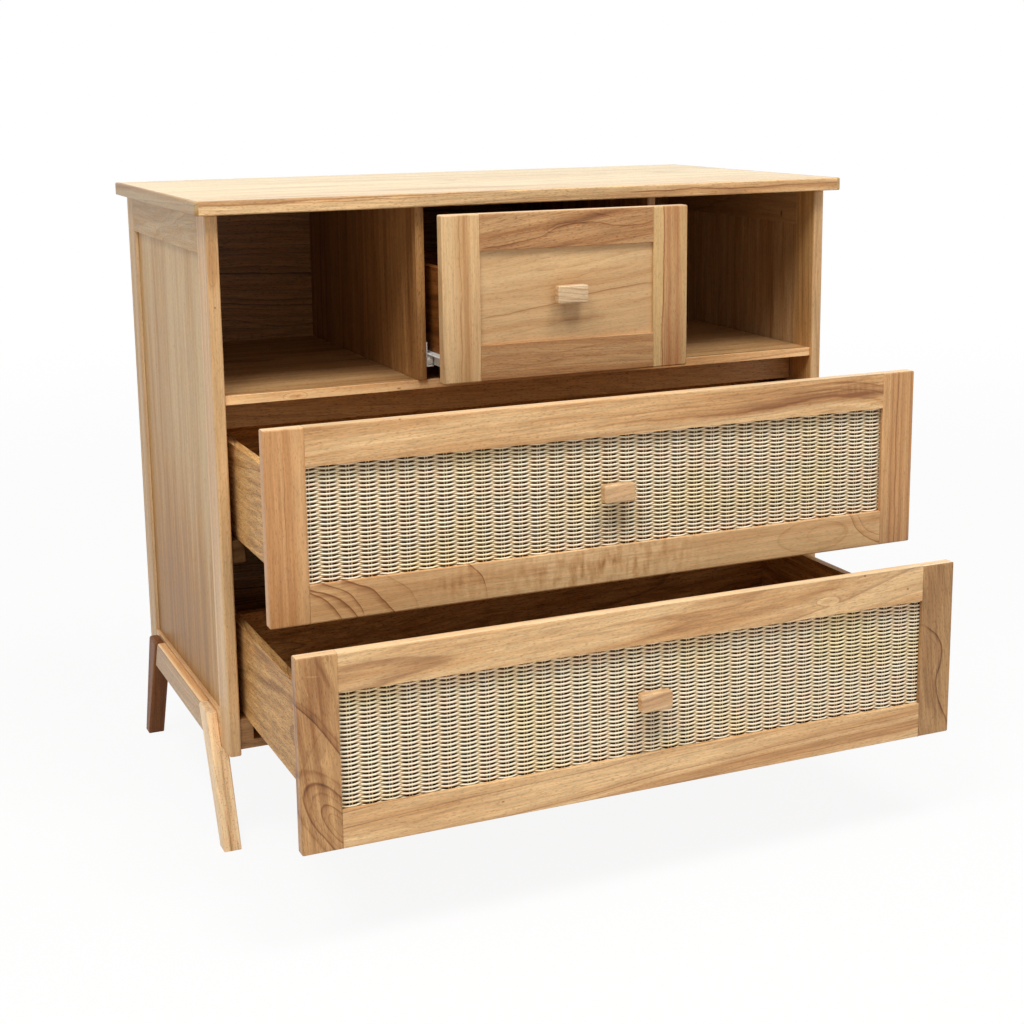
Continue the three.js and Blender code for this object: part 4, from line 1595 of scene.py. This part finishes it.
@dataclass
class KnobShape:
    """A rounded block on a flared neck, lofted through rounded rectangles."""

    workshop: Workshop
    node: str
    block_depth: float = 13 * MM
    neck_depth: float = 7 * MM
    neck_half_width: float = 13 * MM
    neck_half_height: float = 7 * MM
    neck_flare: float = 1.2
    neck_corner: float = 2 * MM
    flare_corner: float = 3 * MM
    seat_share: float = 0.97
    seat_lip: float = 0.4 * MM
    crown: float = 0.5 * MM
    flat_share: float = 0.5
    edge_radius: float = 1.9 * MM
    corner_radius: float = 2.8 * MM
    corner_steps: int = 5
    edge_steps: int = 4

    WELD = 0.001 * MM

    def ring(self, half_width: float, half_height: float, radius: float) -> list[tuple[float, float]]:
        """Lists the points of a rounded rectangle, the same number for every size.

        Args:
            half_width: Half its width.
            half_height: Half its height.
            radius: The radius of its corners.

        Returns:
            The points, sideways and upwards from its middle.
        """
        radius = min(radius, half_width, half_height)
        points = []
        for quarter, (side, rise) in enumerate(((1, 1), (-1, 1), (-1, -1), (1, -1))):
            for step in range(self.corner_steps + 1):
                angle = math.pi / 2 * (quarter + step / self.corner_steps)
                points.append((
                    side * (half_width - radius) + radius * math.cos(angle),
                    rise * (half_height - radius) + radius * math.sin(angle),
                ))
        return points

    def sections(self) -> list[tuple[float, float, float, float]]:
        """Lists the sections from the seat outwards.

        Returns:
            Each section's distance from the front, its half width and height, and its corner radius.
        """
        half = Box.of(self.node).size / 2
        seat = self.block_depth + self.neck_depth
        neck = (
            (seat, self.seat_share, self.neck_corner),
            (seat - self.seat_lip, 1.0, self.neck_corner),
            (self.block_depth, self.neck_flare, self.flare_corner),
        )
        rows = [
            (depth, share * self.neck_half_width, share * self.neck_half_height, corner)
            for depth, share, corner in neck
        ]
        radius = self.edge_radius
        turns = [math.pi / 2 * step / self.edge_steps for step in range(self.edge_steps + 1)]
        rises = [(radius * (1 - math.cos(turn)), radius * (1 - math.sin(turn))) for turn in turns]
        rounding = [
            *((self.block_depth - cosine, sine) for cosine, sine in rises),
            *((self.crown + sine, cosine) for cosine, sine in rises),
        ]
        rows += [(depth, half.x - inset, half.z - inset, self.corner_radius) for depth, inset in rounding]
        rows.append((0.0, self.flat_share * half.x, self.flat_share * half.z, self.corner_radius))
        return rows

    def build(self, wood: WoodFinish) -> None:
        """Lofts the knob and dresses it.

        Args:
            wood: Its finish.
        """
        box = Box.of(self.node)
        shape = bmesh.new()
        rings = []
        for depth, *section in self.sections():
            rings.append([
                shape.verts.new((box.middle.x + x, box.low.y + depth, box.middle.z + z))
                for x, z in self.ring(*section)
            ])
        for inner, outer in zip(rings, rings[1:]):
            for place in range(len(inner)):
                beside = (place + 1) % len(inner)
                shape.faces.new((inner[place], inner[beside], outer[beside], outer[place]))
        shape.faces.new(rings[0])
        shape.faces.new(list(reversed(rings[-1])))
        bmesh.ops.remove_doubles(shape, verts=shape.verts[:], dist=self.WELD)
        bmesh.ops.recalc_face_normals(shape, faces=shape.faces[:])
        for face in shape.faces:
            face.smooth = True
        piece = object_of(f"{self.node}_shaped", shape)
        self.workshop.finish(piece, self.node, wood.material(self.node, box.face_middle(wood.face)))


@dataclass
class DrawerBox:
    """The plain box behind a drawer front."""

    workshop: Workshop
    drawer: str
    tone: Tone = Tone.TAN
    brightness: float = 1.0
    arris: float = 0.8 * MM

    def build(self) -> None:
        """Makes the sides, the back and the base."""
        side = Figure.CATHEDRAL.cut(fibres=2.4, lines=0.7, tilt=2.5, lean=4.0)
        boards = {
            "left_side": (side, BACK, LEFT),
            "right_side": (side, BACK, RIGHT),
            "back": (side, RIGHT, FRONT),
            "base": (Figure.PLAIN.cut(fibres=1.5), RIGHT, UP),
        }
        for part, sawn in boards.items():
            wood = WoodFinish(self.tone, *sawn, self.brightness, gloss=0.0)
            self.workshop.board(f"{self.drawer}_{part}", Easing(arris=self.arris), wood)


@dataclass
class DrawerFront:
    """The frame of a drawer front: two stiles and two rails."""

    workshop: Workshop
    drawer: str
    woods: dict[str, WoodFinish]
    perimeter: float = 2.2 * MM
    rear: float = 1.0 * MM
    arris: float = 0.5 * MM

    def box(self, *parts: str) -> Box:
        """Returns the box round some of its parts."""
        return Box.of(*(f"{self.drawer}_{part}" for part in parts))

    @property
    def opening(self) -> Box:
        """The opening inside the frame."""
        low = Vector((self.box("left_stile").high.x, 0.0, self.box("bottom_rail").high.z))
        return Box(low, Vector((self.box("right_stile").low.x, 0.0, self.box("top_rail").low.z)))

    def build(self) -> None:
        """Makes the boards of the frame."""
        easing = Easing(self.box("left_stile", "right_stile"), self.perimeter, self.rear, self.arris)
        # The faces that look up get a paler, brighter finish: a painted highlight for the light from above.
        edge = WoodFinish(Tone.BLOND, Figure.STRAIGHT.cut(), RIGHT, UP, brightness=1.15)
        for part, wood in self.woods.items():
            upper = None if part == "bottom_rail" else edge
            self.workshop.board(f"{self.drawer}_{part}", easing, wood, upper)


@dataclass
class SmallDrawer:
    """The centre drawer, with a solid panel and roller runners."""

    workshop: Workshop
    steel: CoatedFinish
    runner_arris: float = 0.4 * MM

    RUNNERS = (
        "small_drawer_left_runner", "small_drawer_right_runner",
        "left_cabinet_runner", "right_cabinet_runner",
    )

    def panel_wood(self) -> WoodFinish:
        """Chooses the panel of the front.

        Returns:
            Its finish.
        """
        rising = Figure.RIBBON.cut(tilt=5.0, lines=0.12, ring=0.014, warp=0.060, bands=0.24, fibres=0.85)
        veins = (
            Vein(
                ((-130, -28), (-88, -22), (-40, -18), (-1, -12), (33, -4), (78, 3), (140, 5)), 1.1, 1.2, -4.0,
            ),
            Vein(((-50, 30), (-1, 32), (33, 39), (95, 49)), 0.7, 1.0, 5.0),
            Vein(((-20, 16), (10, 18), (50, 27), (90, 30)), 0.5, 1.0, 4.0),
            Vein(((-80, -48), (-30, -44), (20, -36), (60, -36)), 0.5, 1.2, 5.0),
        )
        return WoodFinish(Tone.HONEY, rising, RIGHT, FRONT, 0.90, veins=veins)

    def build(self) -> None:
        """Makes the whole small drawer and the runners it hangs in."""
        DrawerFront(self.workshop, "small_drawer", small_woods()).build()
        self.workshop.board("small_drawer_panel", Easing(), self.panel_wood())
        KnobShape(self.workshop, "small_drawer_knob").build(knob_wood(Tone.BLOND, 0.9, -6.0))
        # The box takes the dark bark tone: painted shade inside the case.
        DrawerBox(self.workshop, "small_drawer", Tone.BARK, 0.8).build()
        coat = self.steel.material("runner_coat")
        easing = Easing(arris=self.runner_arris, segments=2)
        for node in self.RUNNERS:
            self.workshop.finish(self.workshop.eased(node, easing), node, coat)


@dataclass
class WideDrawer:
    """A wide drawer with a woven front."""

    workshop: Workshop
    drawer: str
    woods: dict[str, WoodFinish]
    first_pair: float
    seed: int
    reed: bpy.types.Material
    board_coat: bpy.types.Material

    def build(self) -> None:
        """Makes the whole wide drawer."""
        front_frame = DrawerFront(self.workshop, self.drawer, self.woods)
        front_frame.build()
        weave = WovenPanel(self.workshop, f"{self.drawer}_woven_panel", self.first_pair, self.seed)
        weave.build(front_frame.opening, self.reed)
        backing = self.workshop.frame["nodes"][f"{self.drawer}_backing"]
        backing.data.materials.clear()
        backing.data.materials.append(self.board_coat)
        LOG.info("%s keeps its frame shape", backing.name)
        KnobShape(self.workshop, f"{self.drawer}_knob").build(knob_wood(Tone.HONEY, 0.4, 8.0))
        DrawerBox(self.workshop, self.drawer).build()


@dataclass
class PhotoCamera:
    """The camera that took the photograph, in the chest's own frame."""

    place: tuple[float, float, float] = (-0.97044, -2.22081, 1.00854)
    heading: float = -23.989
    elevation: float = 11.289
    roll: float = -0.620
    lens: float = 60.606
    sensor: float = 36.0
    shift_x: float = -0.01744
    shift_y: float = -0.08332

    def build(self) -> None:
        """Makes the camera and makes it the scene's own."""
        data = bpy.data.cameras.new("photo_camera")
        data.lens = self.lens
        data.sensor_width = self.sensor
        data.shift_x = self.shift_x
        data.shift_y = self.shift_y
        camera = placed("photo_camera", data)
        turns = ((self.heading, "Z"), (90 - self.elevation, "X"), (self.roll, "Z"))
        heading, pitch, roll = (Matrix.Rotation(math.radians(angle), 4, axis) for angle, axis in turns)
        camera.matrix_world = Matrix.Translation(self.place) @ heading @ pitch @ roll
        bpy.context.scene.camera = camera


@dataclass
class Studio:
    """A pale floor, a white surround and soft light from above the front.

    Each lamp has its place and its watts. The floor fades to white between the two distances of its fade.
    """

    ambient: float = 0.38
    lamps: tuple[tuple[float, float, float, float], ...] = ((0.4, -1.4, 3.6, 58.0), (-1.5, -1.3, 3.2, 50.0))
    lamp_size: float = 1.2
    aim: tuple[float, float, float] = (0.0, 0.0, 0.45)
    floor_half: float = 40.0
    floor_colour: Colour = (246, 245, 243)
    floor_roughness: float = 0.9
    floor_lift: float = 0.91
    floor_fade: tuple[float, float] = (1.0, 5.0)

    def world(self) -> None:
        """Lights the scene evenly, and shows as white to the camera and in reflections."""
        world = bpy.data.worlds.new("surround")
        world.use_nodes = True
        bpy.context.scene.world = world
        wires = Wiring(world.node_tree)
        background = world.node_tree.nodes["Background"]
        wires.feed(background.inputs["Color"], WHITE)
        wires.feed(background.inputs["Strength"], wires.seen() * (1.0 - self.ambient) + self.ambient)

    def lamp(self, place: Vector, watts: float) -> None:
        """Hangs one soft lamp and aims it at the chest.

        Args:
            place: Where it hangs.
            watts: Its power.
        """
        data = bpy.data.lights.new("soft_lamp", "AREA")
        data.energy = watts
        data.shape = "SQUARE"
        data.size = self.lamp_size
        toward = (Vector(self.aim) - place).to_track_quat("-Z", "Y")
        placed("soft_lamp", data).matrix_world = Matrix.Translation(place) @ toward.to_matrix().to_4x4()

    def floor(self) -> None:
        """Lays a pale floor that keeps the chest's shadow and fades into the surround."""
        shape = bmesh.new()
        bmesh.ops.create_grid(shape, x_segments=1, y_segments=1, size=self.floor_half)
        floor = object_of("floor", shape)
        wires = Surface("pale_floor")
        colour, roughness = linear(self.floor_colour), self.floor_roughness
        wires.dress({"Base Color": colour, "Roughness": roughness, "Specular IOR Level": 0.0})
        away = wires.vector("LENGTH", wires.place())
        share = wires.ramp(away, *self.floor_fade, self.floor_lift, 1.0) * wires.seen()
        paint = Flow(wires, wires.shader.outputs[0])
        glow = wires.out("ShaderNodeEmission", {"Color": WHITE, "Strength": 1.0})
        mixed = wires.out("ShaderNodeMixShader", {0: share, 1: paint, 2: glow})
        wires.feed(wires.tree.nodes["Material Output"].inputs["Surface"], mixed)
        floor.data.materials.append(wires.material)

    def build(self) -> None:
        """Sets up the light, the surround and the floor."""
        self.world()
        for *place, watts in self.lamps:
            self.lamp(Vector(place), watts)
        self.floor()
        bpy.context.scene.view_settings.view_transform = "Standard"


def knob_wood(tone: Tone, lines: float, tilt: float) -> WoodFinish:
    """Chooses the wood of a knob.

    Args:
        tone: Its tone.
        lines: How strongly its growth lines show.
        tilt: How far they are turned in its face, in degrees.

    Returns:
        Its finish.
    """
    cut = Figure.STRAIGHT.cut(tilt=tilt, lines=lines, bands=0.7, ring=0.004, fibres=1.2)
    # The last stripe, pale along the knob's top edge, is a painted highlight; the others are growth lines.
    stripes = ((0.0066, 0.0026, 1.0), (0.0008, 0.0020, 0.9), (-0.0054, 0.0028, 1.1), (0.0116, 0.0016, -2.0))
    lining = tuple(
        stripe(across, width, lines * shade, tilt) for across, width, shade in stripes
    )
    return WoodFinish(tone, cut, RIGHT, FRONT, 0.95, lining, gloss=0.8, fleck=260.0)


def small_woods() -> dict[str, WoodFinish]:
    """Chooses the boards of the small front.

    Returns:
        The finish of each part of its frame.
    """
    left_marks = (
        stripe(0.0165, 0.0120, -0.50),
        stripe(0.0015, 0.0018, 0.60),
        stripe(-0.0060, 0.0160, 0.65),
        stripe(-0.0235, 0.0030, -0.60),
    )
    right_marks = (
        stripe(0.0205, 0.0090, -1.0, -1.2),
        stripe(0.0115, 0.0016, 1.1, -1.2),
        stripe(-0.0040, 0.0200, 0.60, -0.6),
        stripe(-0.0200, 0.0050, 0.15),
    )
    # A pale line down the outer edge of the left stile: a painted highlight.
    edge = stripe(0.0253, 0.0014, -1.4)
    top_veins = (
        Vein(((-130, -23), (-88, -18), (-46, -10), (-12, 3), (31, 7), (86, 2), (135, 9)), 1.2, 1.3, -6.0),
        Vein(((-130, -18), (-74, -12), (-41, -3), (-3, 7), (45, -2)), 0.7, 1.0, 5.0),
        Vein(((-20, 16), (30, 19), (80, 13), (135, 18)), 0.6, 1.0, -6.0),
    )
    low_veins = (
        Vein(((-134, -2), (-105, 10), (-72, 11), (-28, 7), (26, 12), (90, 13), (135, 9)), 0.9, 1.3, -7.0),
        Vein(((-130, -9), (-91, -2), (-53, -5), (6, 0), (60, -4)), 0.8, 1.2, -6.0),
        Vein(((-110, -15), (-60, -12), (0, -16), (70, -10)), 0.5, 1.2, 5.0),
    )
    rising = Figure.RIBBON.cut(tilt=7.0, lines=0.5, ring=0.011, warp=0.016, fibres=1.9)
    wavy = Figure.RIBBON.cut(tilt=-2.0, lines=0.35, ring=0.009, warp=0.026, fibres=1.3)
    soft = Figure.STRAIGHT.cut(lines=0.22, bands=0.45, ring=0.010, fibres=0.9)
    return {
        "left_stile": WoodFinish(Tone.HONEY, soft, UP, FRONT, marks=(*left_marks, edge), brightness=0.93),
        "right_stile": WoodFinish(Tone.RUSSET, soft, UP, FRONT, marks=right_marks, brightness=0.90),
        "top_rail": WoodFinish(Tone.AMBER, rising, RIGHT, FRONT, 0.73, veins=top_veins),
        "bottom_rail": WoodFinish(Tone.AMBER, wavy, RIGHT, FRONT, 0.79, veins=low_veins),
    }


def middle_woods() -> dict[str, WoodFinish]:
    """Chooses the boards of the middle front.

    Returns:
        The finish of each part of its frame.
    """
    left_marks = (
        Mark(0.02, 0.0010, 0.16, 0.0011, shade=0.9),
        stripe(0.0120, 0.0090, 0.25),
        stripe(-0.0210, 0.0050, -0.5),
    )
    right_marks = (
        stripe(0.0180, 0.0080, -0.7),
        stripe(0.0015, 0.0016, 1.0),
        stripe(-0.0070, 0.0050, 0.4),
        stripe(-0.0210, 0.0040, 0.45),
    )
    top_marks = (
        Mark(0.38, 0.006, 0.09, 0.026, shade=0.60, curl=0.3),
        Mark(0.25, 0.004, 0.26, 0.032, shade=0.95),
        Mark(-0.30, 0.0, 0.20, 0.020, shade=-0.3),
        Mark(-0.289, 0.0235, 0.0025, 0.002, shade=1.6),
    )
    top_veins = (
        Vein(
            ((-40, -10), (85, -9), (160, -10), (205, -8), (255, -6), (314, 0), (354, -4), (420, -23)),
            0.65, 3.0, 15.0,
        ),
        Vein(((200, 13), (274, 17), (333, 18), (378, 12), (420, -2)), 0.5, 1.4, -6.0),
        Vein(((260, 6), (314, 9), (354, 6), (415, -8)), 0.5, 1.4, 6.0),
        Vein(((-60, -17), (100, -18), (236, -15), (306, -12), (354, -15), (415, -28)), -0.9, 5.0, -4.0),
    )
    low_marks = (
        Mark(-0.34, 0.0, 0.12, 0.05, shade=0.15),
        Mark(0.300, 0.001, 0.055, 0.021, rim=0.5, shade=0.1),
        Mark(0.322, 0.003, 0.030, 0.012, rim=0.4, swell=0.008),
        Mark(0.405, 0.020, 0.040, 0.022, shade=0.5),
        Mark(-0.22, 0.0, 0.07, 0.05, shade=0.20, curl=0.5),
        Mark(-0.02, 0.0, 0.21, 0.08, shade=-0.55, curl=1.35),
        Mark(0.20, 0.0, 0.20, 0.06, shade=-0.20),
    )
    low_veins = (
        Vein(((-430, 22), (-405, 12), (-390, 4), (-375, -12), (-367, -27)), 1.5, 1.6, -10.0),
        Vein(((-436, 25), (-406, 17), (-383, 9), (-362, -6), (-346, -27)), 1.8, 1.8, -9.0),
        Vein(((-410, 31), (-389, 23), (-365, 12), (-349, -4), (-338, -27)), 1.3, 1.6, -8.0),
        Vein(((-372, 29), (-349, 18), (-330, 9), (-317, -6), (-298, -27)), 1.7, 1.8, -14.0),
        Vein(((-312, 26), (-301, 17), (-285, 3), (-270, -25)), 0.6, 1.6, -12.0),
        Vein(((-208, 28), (-199, 20), (-184, 2), (-178, -27)), 1.4, 2.0, -24.0),
        Vein(((355, 29), (361, 19), (368, 5), (385, -9), (425, -25)), 1.4, 1.6, 14.0),
        Vein(((368, 27), (374, 17), (384, 2), (401, -7), (425, -12)), 0.9, 1.5, 7.0),
    )
    long = Figure.RIBBON.cut(tilt=1.8, ring=0.010, lines=0.35, bands=0.5, warp=0.016, fibres=1.5)
    curly = Figure.RIBBON.cut(tilt=0.4, ring=0.012, lines=0.25, bands=0.25, fibres=0.9)
    plain_left = Figure.STRAIGHT.cut(lines=0.2, bands=0.4)
    return {
        "left_stile": WoodFinish(Tone.AMBER, plain_left, UP, FRONT, marks=left_marks),
        "right_stile": WoodFinish(Tone.AMBER, Figure.STRAIGHT.cut(), UP, FRONT, 0.95, right_marks),
        "top_rail": WoodFinish(Tone.HONEY, long, RIGHT, FRONT, marks=top_marks, veins=top_veins),
        "bottom_rail": WoodFinish(Tone.HONEY, curly, RIGHT, FRONT, 1.08, low_marks, veins=low_veins),
    }


def bottom_woods() -> dict[str, WoodFinish]:
    """Chooses the boards of the bottom front.

    Returns:
        The finish of each part of its frame.
    """
    loops = (
        (0.067, 0.023, 1.2), (0.052, 0.018, 0.45), (0.034, 0.012, 1.0), (0.021, 0.007, 0.6),
        (0.085, 0.032, 0.5),
    )
    left_marks = (
        *(Mark(-0.090, -0.021, length, width, rim=rim, turn=31.0) for length, width, rim in loops),
        Mark(0.100, -0.0155, 0.034, 0.0040, shade=-1.0, turn=20.0),
        Mark(0.100, -0.0070, 0.040, 0.0040, shade=0.60, turn=20.0),
        Mark(-0.007, -0.008, 0.016, 0.0080, shade=-0.60, turn=-80.0),
        Mark(0.0963, 0.0050, 0.0125, 0.0009, shade=-0.9, turn=81.0),
        Mark(0.0793, 0.0116, 0.0186, 0.0008, shade=-0.7, turn=18.0),
        Mark(0.075, 0.006, 0.080, 0.0300, shade=0.55),
    )
    left_veins = (
        Vein(((-14, -32), (1, -22), (15, -14), (40, 4), (64, 25), (76, 35)), 1.4, 1.6, -12.0),
        Vein(((4, -28), (30, -10), (50, 5), (70, 24)), 0.5, 1.2, -8.0),
        Vein(((-30, 28), (-12, 20), (10, 8), (30, -6)), 0.35, 1.2, 8.0),
    )
    right_marks = (
        Mark(-0.095, 0.012, 0.022, 0.012, shade=-0.75),
        Mark(-0.112, -0.010, 0.012, 0.010, shade=-0.50),
        Mark(0.080, 0.0, 0.060, 0.030, shade=0.15),
        Mark(0.0, 0.012, 0.036, 0.016, shade=0.25),
    )
    right_veins = (
        Vein(
            (
                (-125, -30), (-116, -26), (-101, -20), (-82, -11), (-61, -4), (-40, -2), (-21, -7), (-2, -9),
                (16, -3), (31, 9), (42, 28),
            ),
            1.6, 1.8, 7.0,
        ),
        Vein(((-95, -6), (-60, 5), (-40, 7), (-20, 2), (0, 0), (14, 6), (26, 22)), 0.4, 1.4, 6.0),
        Vein(((60, -4), (75, -7), (90, -6), (118, -10)), 0.5, 0.9, 4.0),
    )
    top_marks = (
        Mark(0.315, 0.0225, 0.0030, 0.0020, swell=0.003, shade=1.7),
        Mark(0.384, -0.0043, 0.0030, 0.0020, swell=0.004, shade=1.7),
        Mark(0.255, -0.002, 0.030, 0.010, swell=0.012, shade=0.3),
        Mark(-0.05, 0.006, 0.30, 0.008, swell=0.006, shade=0.25),
    )
    low_marks = (
        Mark(-0.205, -0.003, 0.0035, 0.0020, swell=0.003, shade=1.7),
        Mark(0.055, 0.0, 0.070, 0.016, shade=-0.7),
        Mark(-0.28, 0.0, 0.16, 0.030, shade=0.25),
        Mark(0.20, -0.008, 0.10, 0.012, shade=0.3),
    )
    blotched = Figure.BROAD.cut(lines=0.25, bands=0.35, ring=0.016, tilt=6.0, fibres=1.4)
    flamed = Figure.CATHEDRAL.cut(lines=0.25, bands=0.35, ring=0.014, tilt=6.0, fibres=1.4)
    slanted = Figure.CATHEDRAL.cut(tilt=3.0, ring=0.010, lines=0.7, fibres=1.4)
    low_slant = Figure.RIBBON.cut(tilt=2.5, lines=0.7, fibres=1.4)
    return {
        "left_stile": WoodFinish(Tone.UMBER, flamed, UP, FRONT, 0.95, left_marks, veins=left_veins),
        "right_stile": WoodFinish(Tone.UMBER, blotched, UP, FRONT, 0.74, right_marks, veins=right_veins),
        "top_rail": WoodFinish(Tone.HONEY, slanted, RIGHT, FRONT, marks=top_marks),
        "bottom_rail": WoodFinish(Tone.HONEY, low_slant, RIGHT, FRONT, marks=low_marks),
    }


def main() -> None:
    """Builds the whole scene."""
    logging.basicConfig(level=logging.INFO, format="%(name)s: %(message)s")
    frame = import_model()
    PhotoCamera().build()
    Studio().build()
    workshop = Workshop(frame)
    for hand, outward in (("left", LEFT), ("right", RIGHT)):
        SideFrame(workshop, hand, outward).build()
        LegFrame(workshop, hand, outward).build()
    TopBoard(workshop).build()
    CaseBoards(workshop).build()
    SmallDrawer(workshop, CoatedFinish((240, 240, 236), (226, 226, 220), 0.35, 900.0)).build()
    reed = ReedFinish().material("rattan_reed")
    # The backing's dark brown is partly its stain and partly painted shade for the gaps between the reeds.
    backing = CoatedFinish((66, 40, 20), (50, 30, 14), 0.75, 500.0).material("stained_backing")
    WideDrawer(workshop, "middle_drawer", middle_woods(), -3.8 * MM, 3, reed, backing).build()
    WideDrawer(workshop, "bottom_drawer", bottom_woods(), 5.0 * MM, 8, reed, backing).build()


if __name__ == "__main__":
    main()
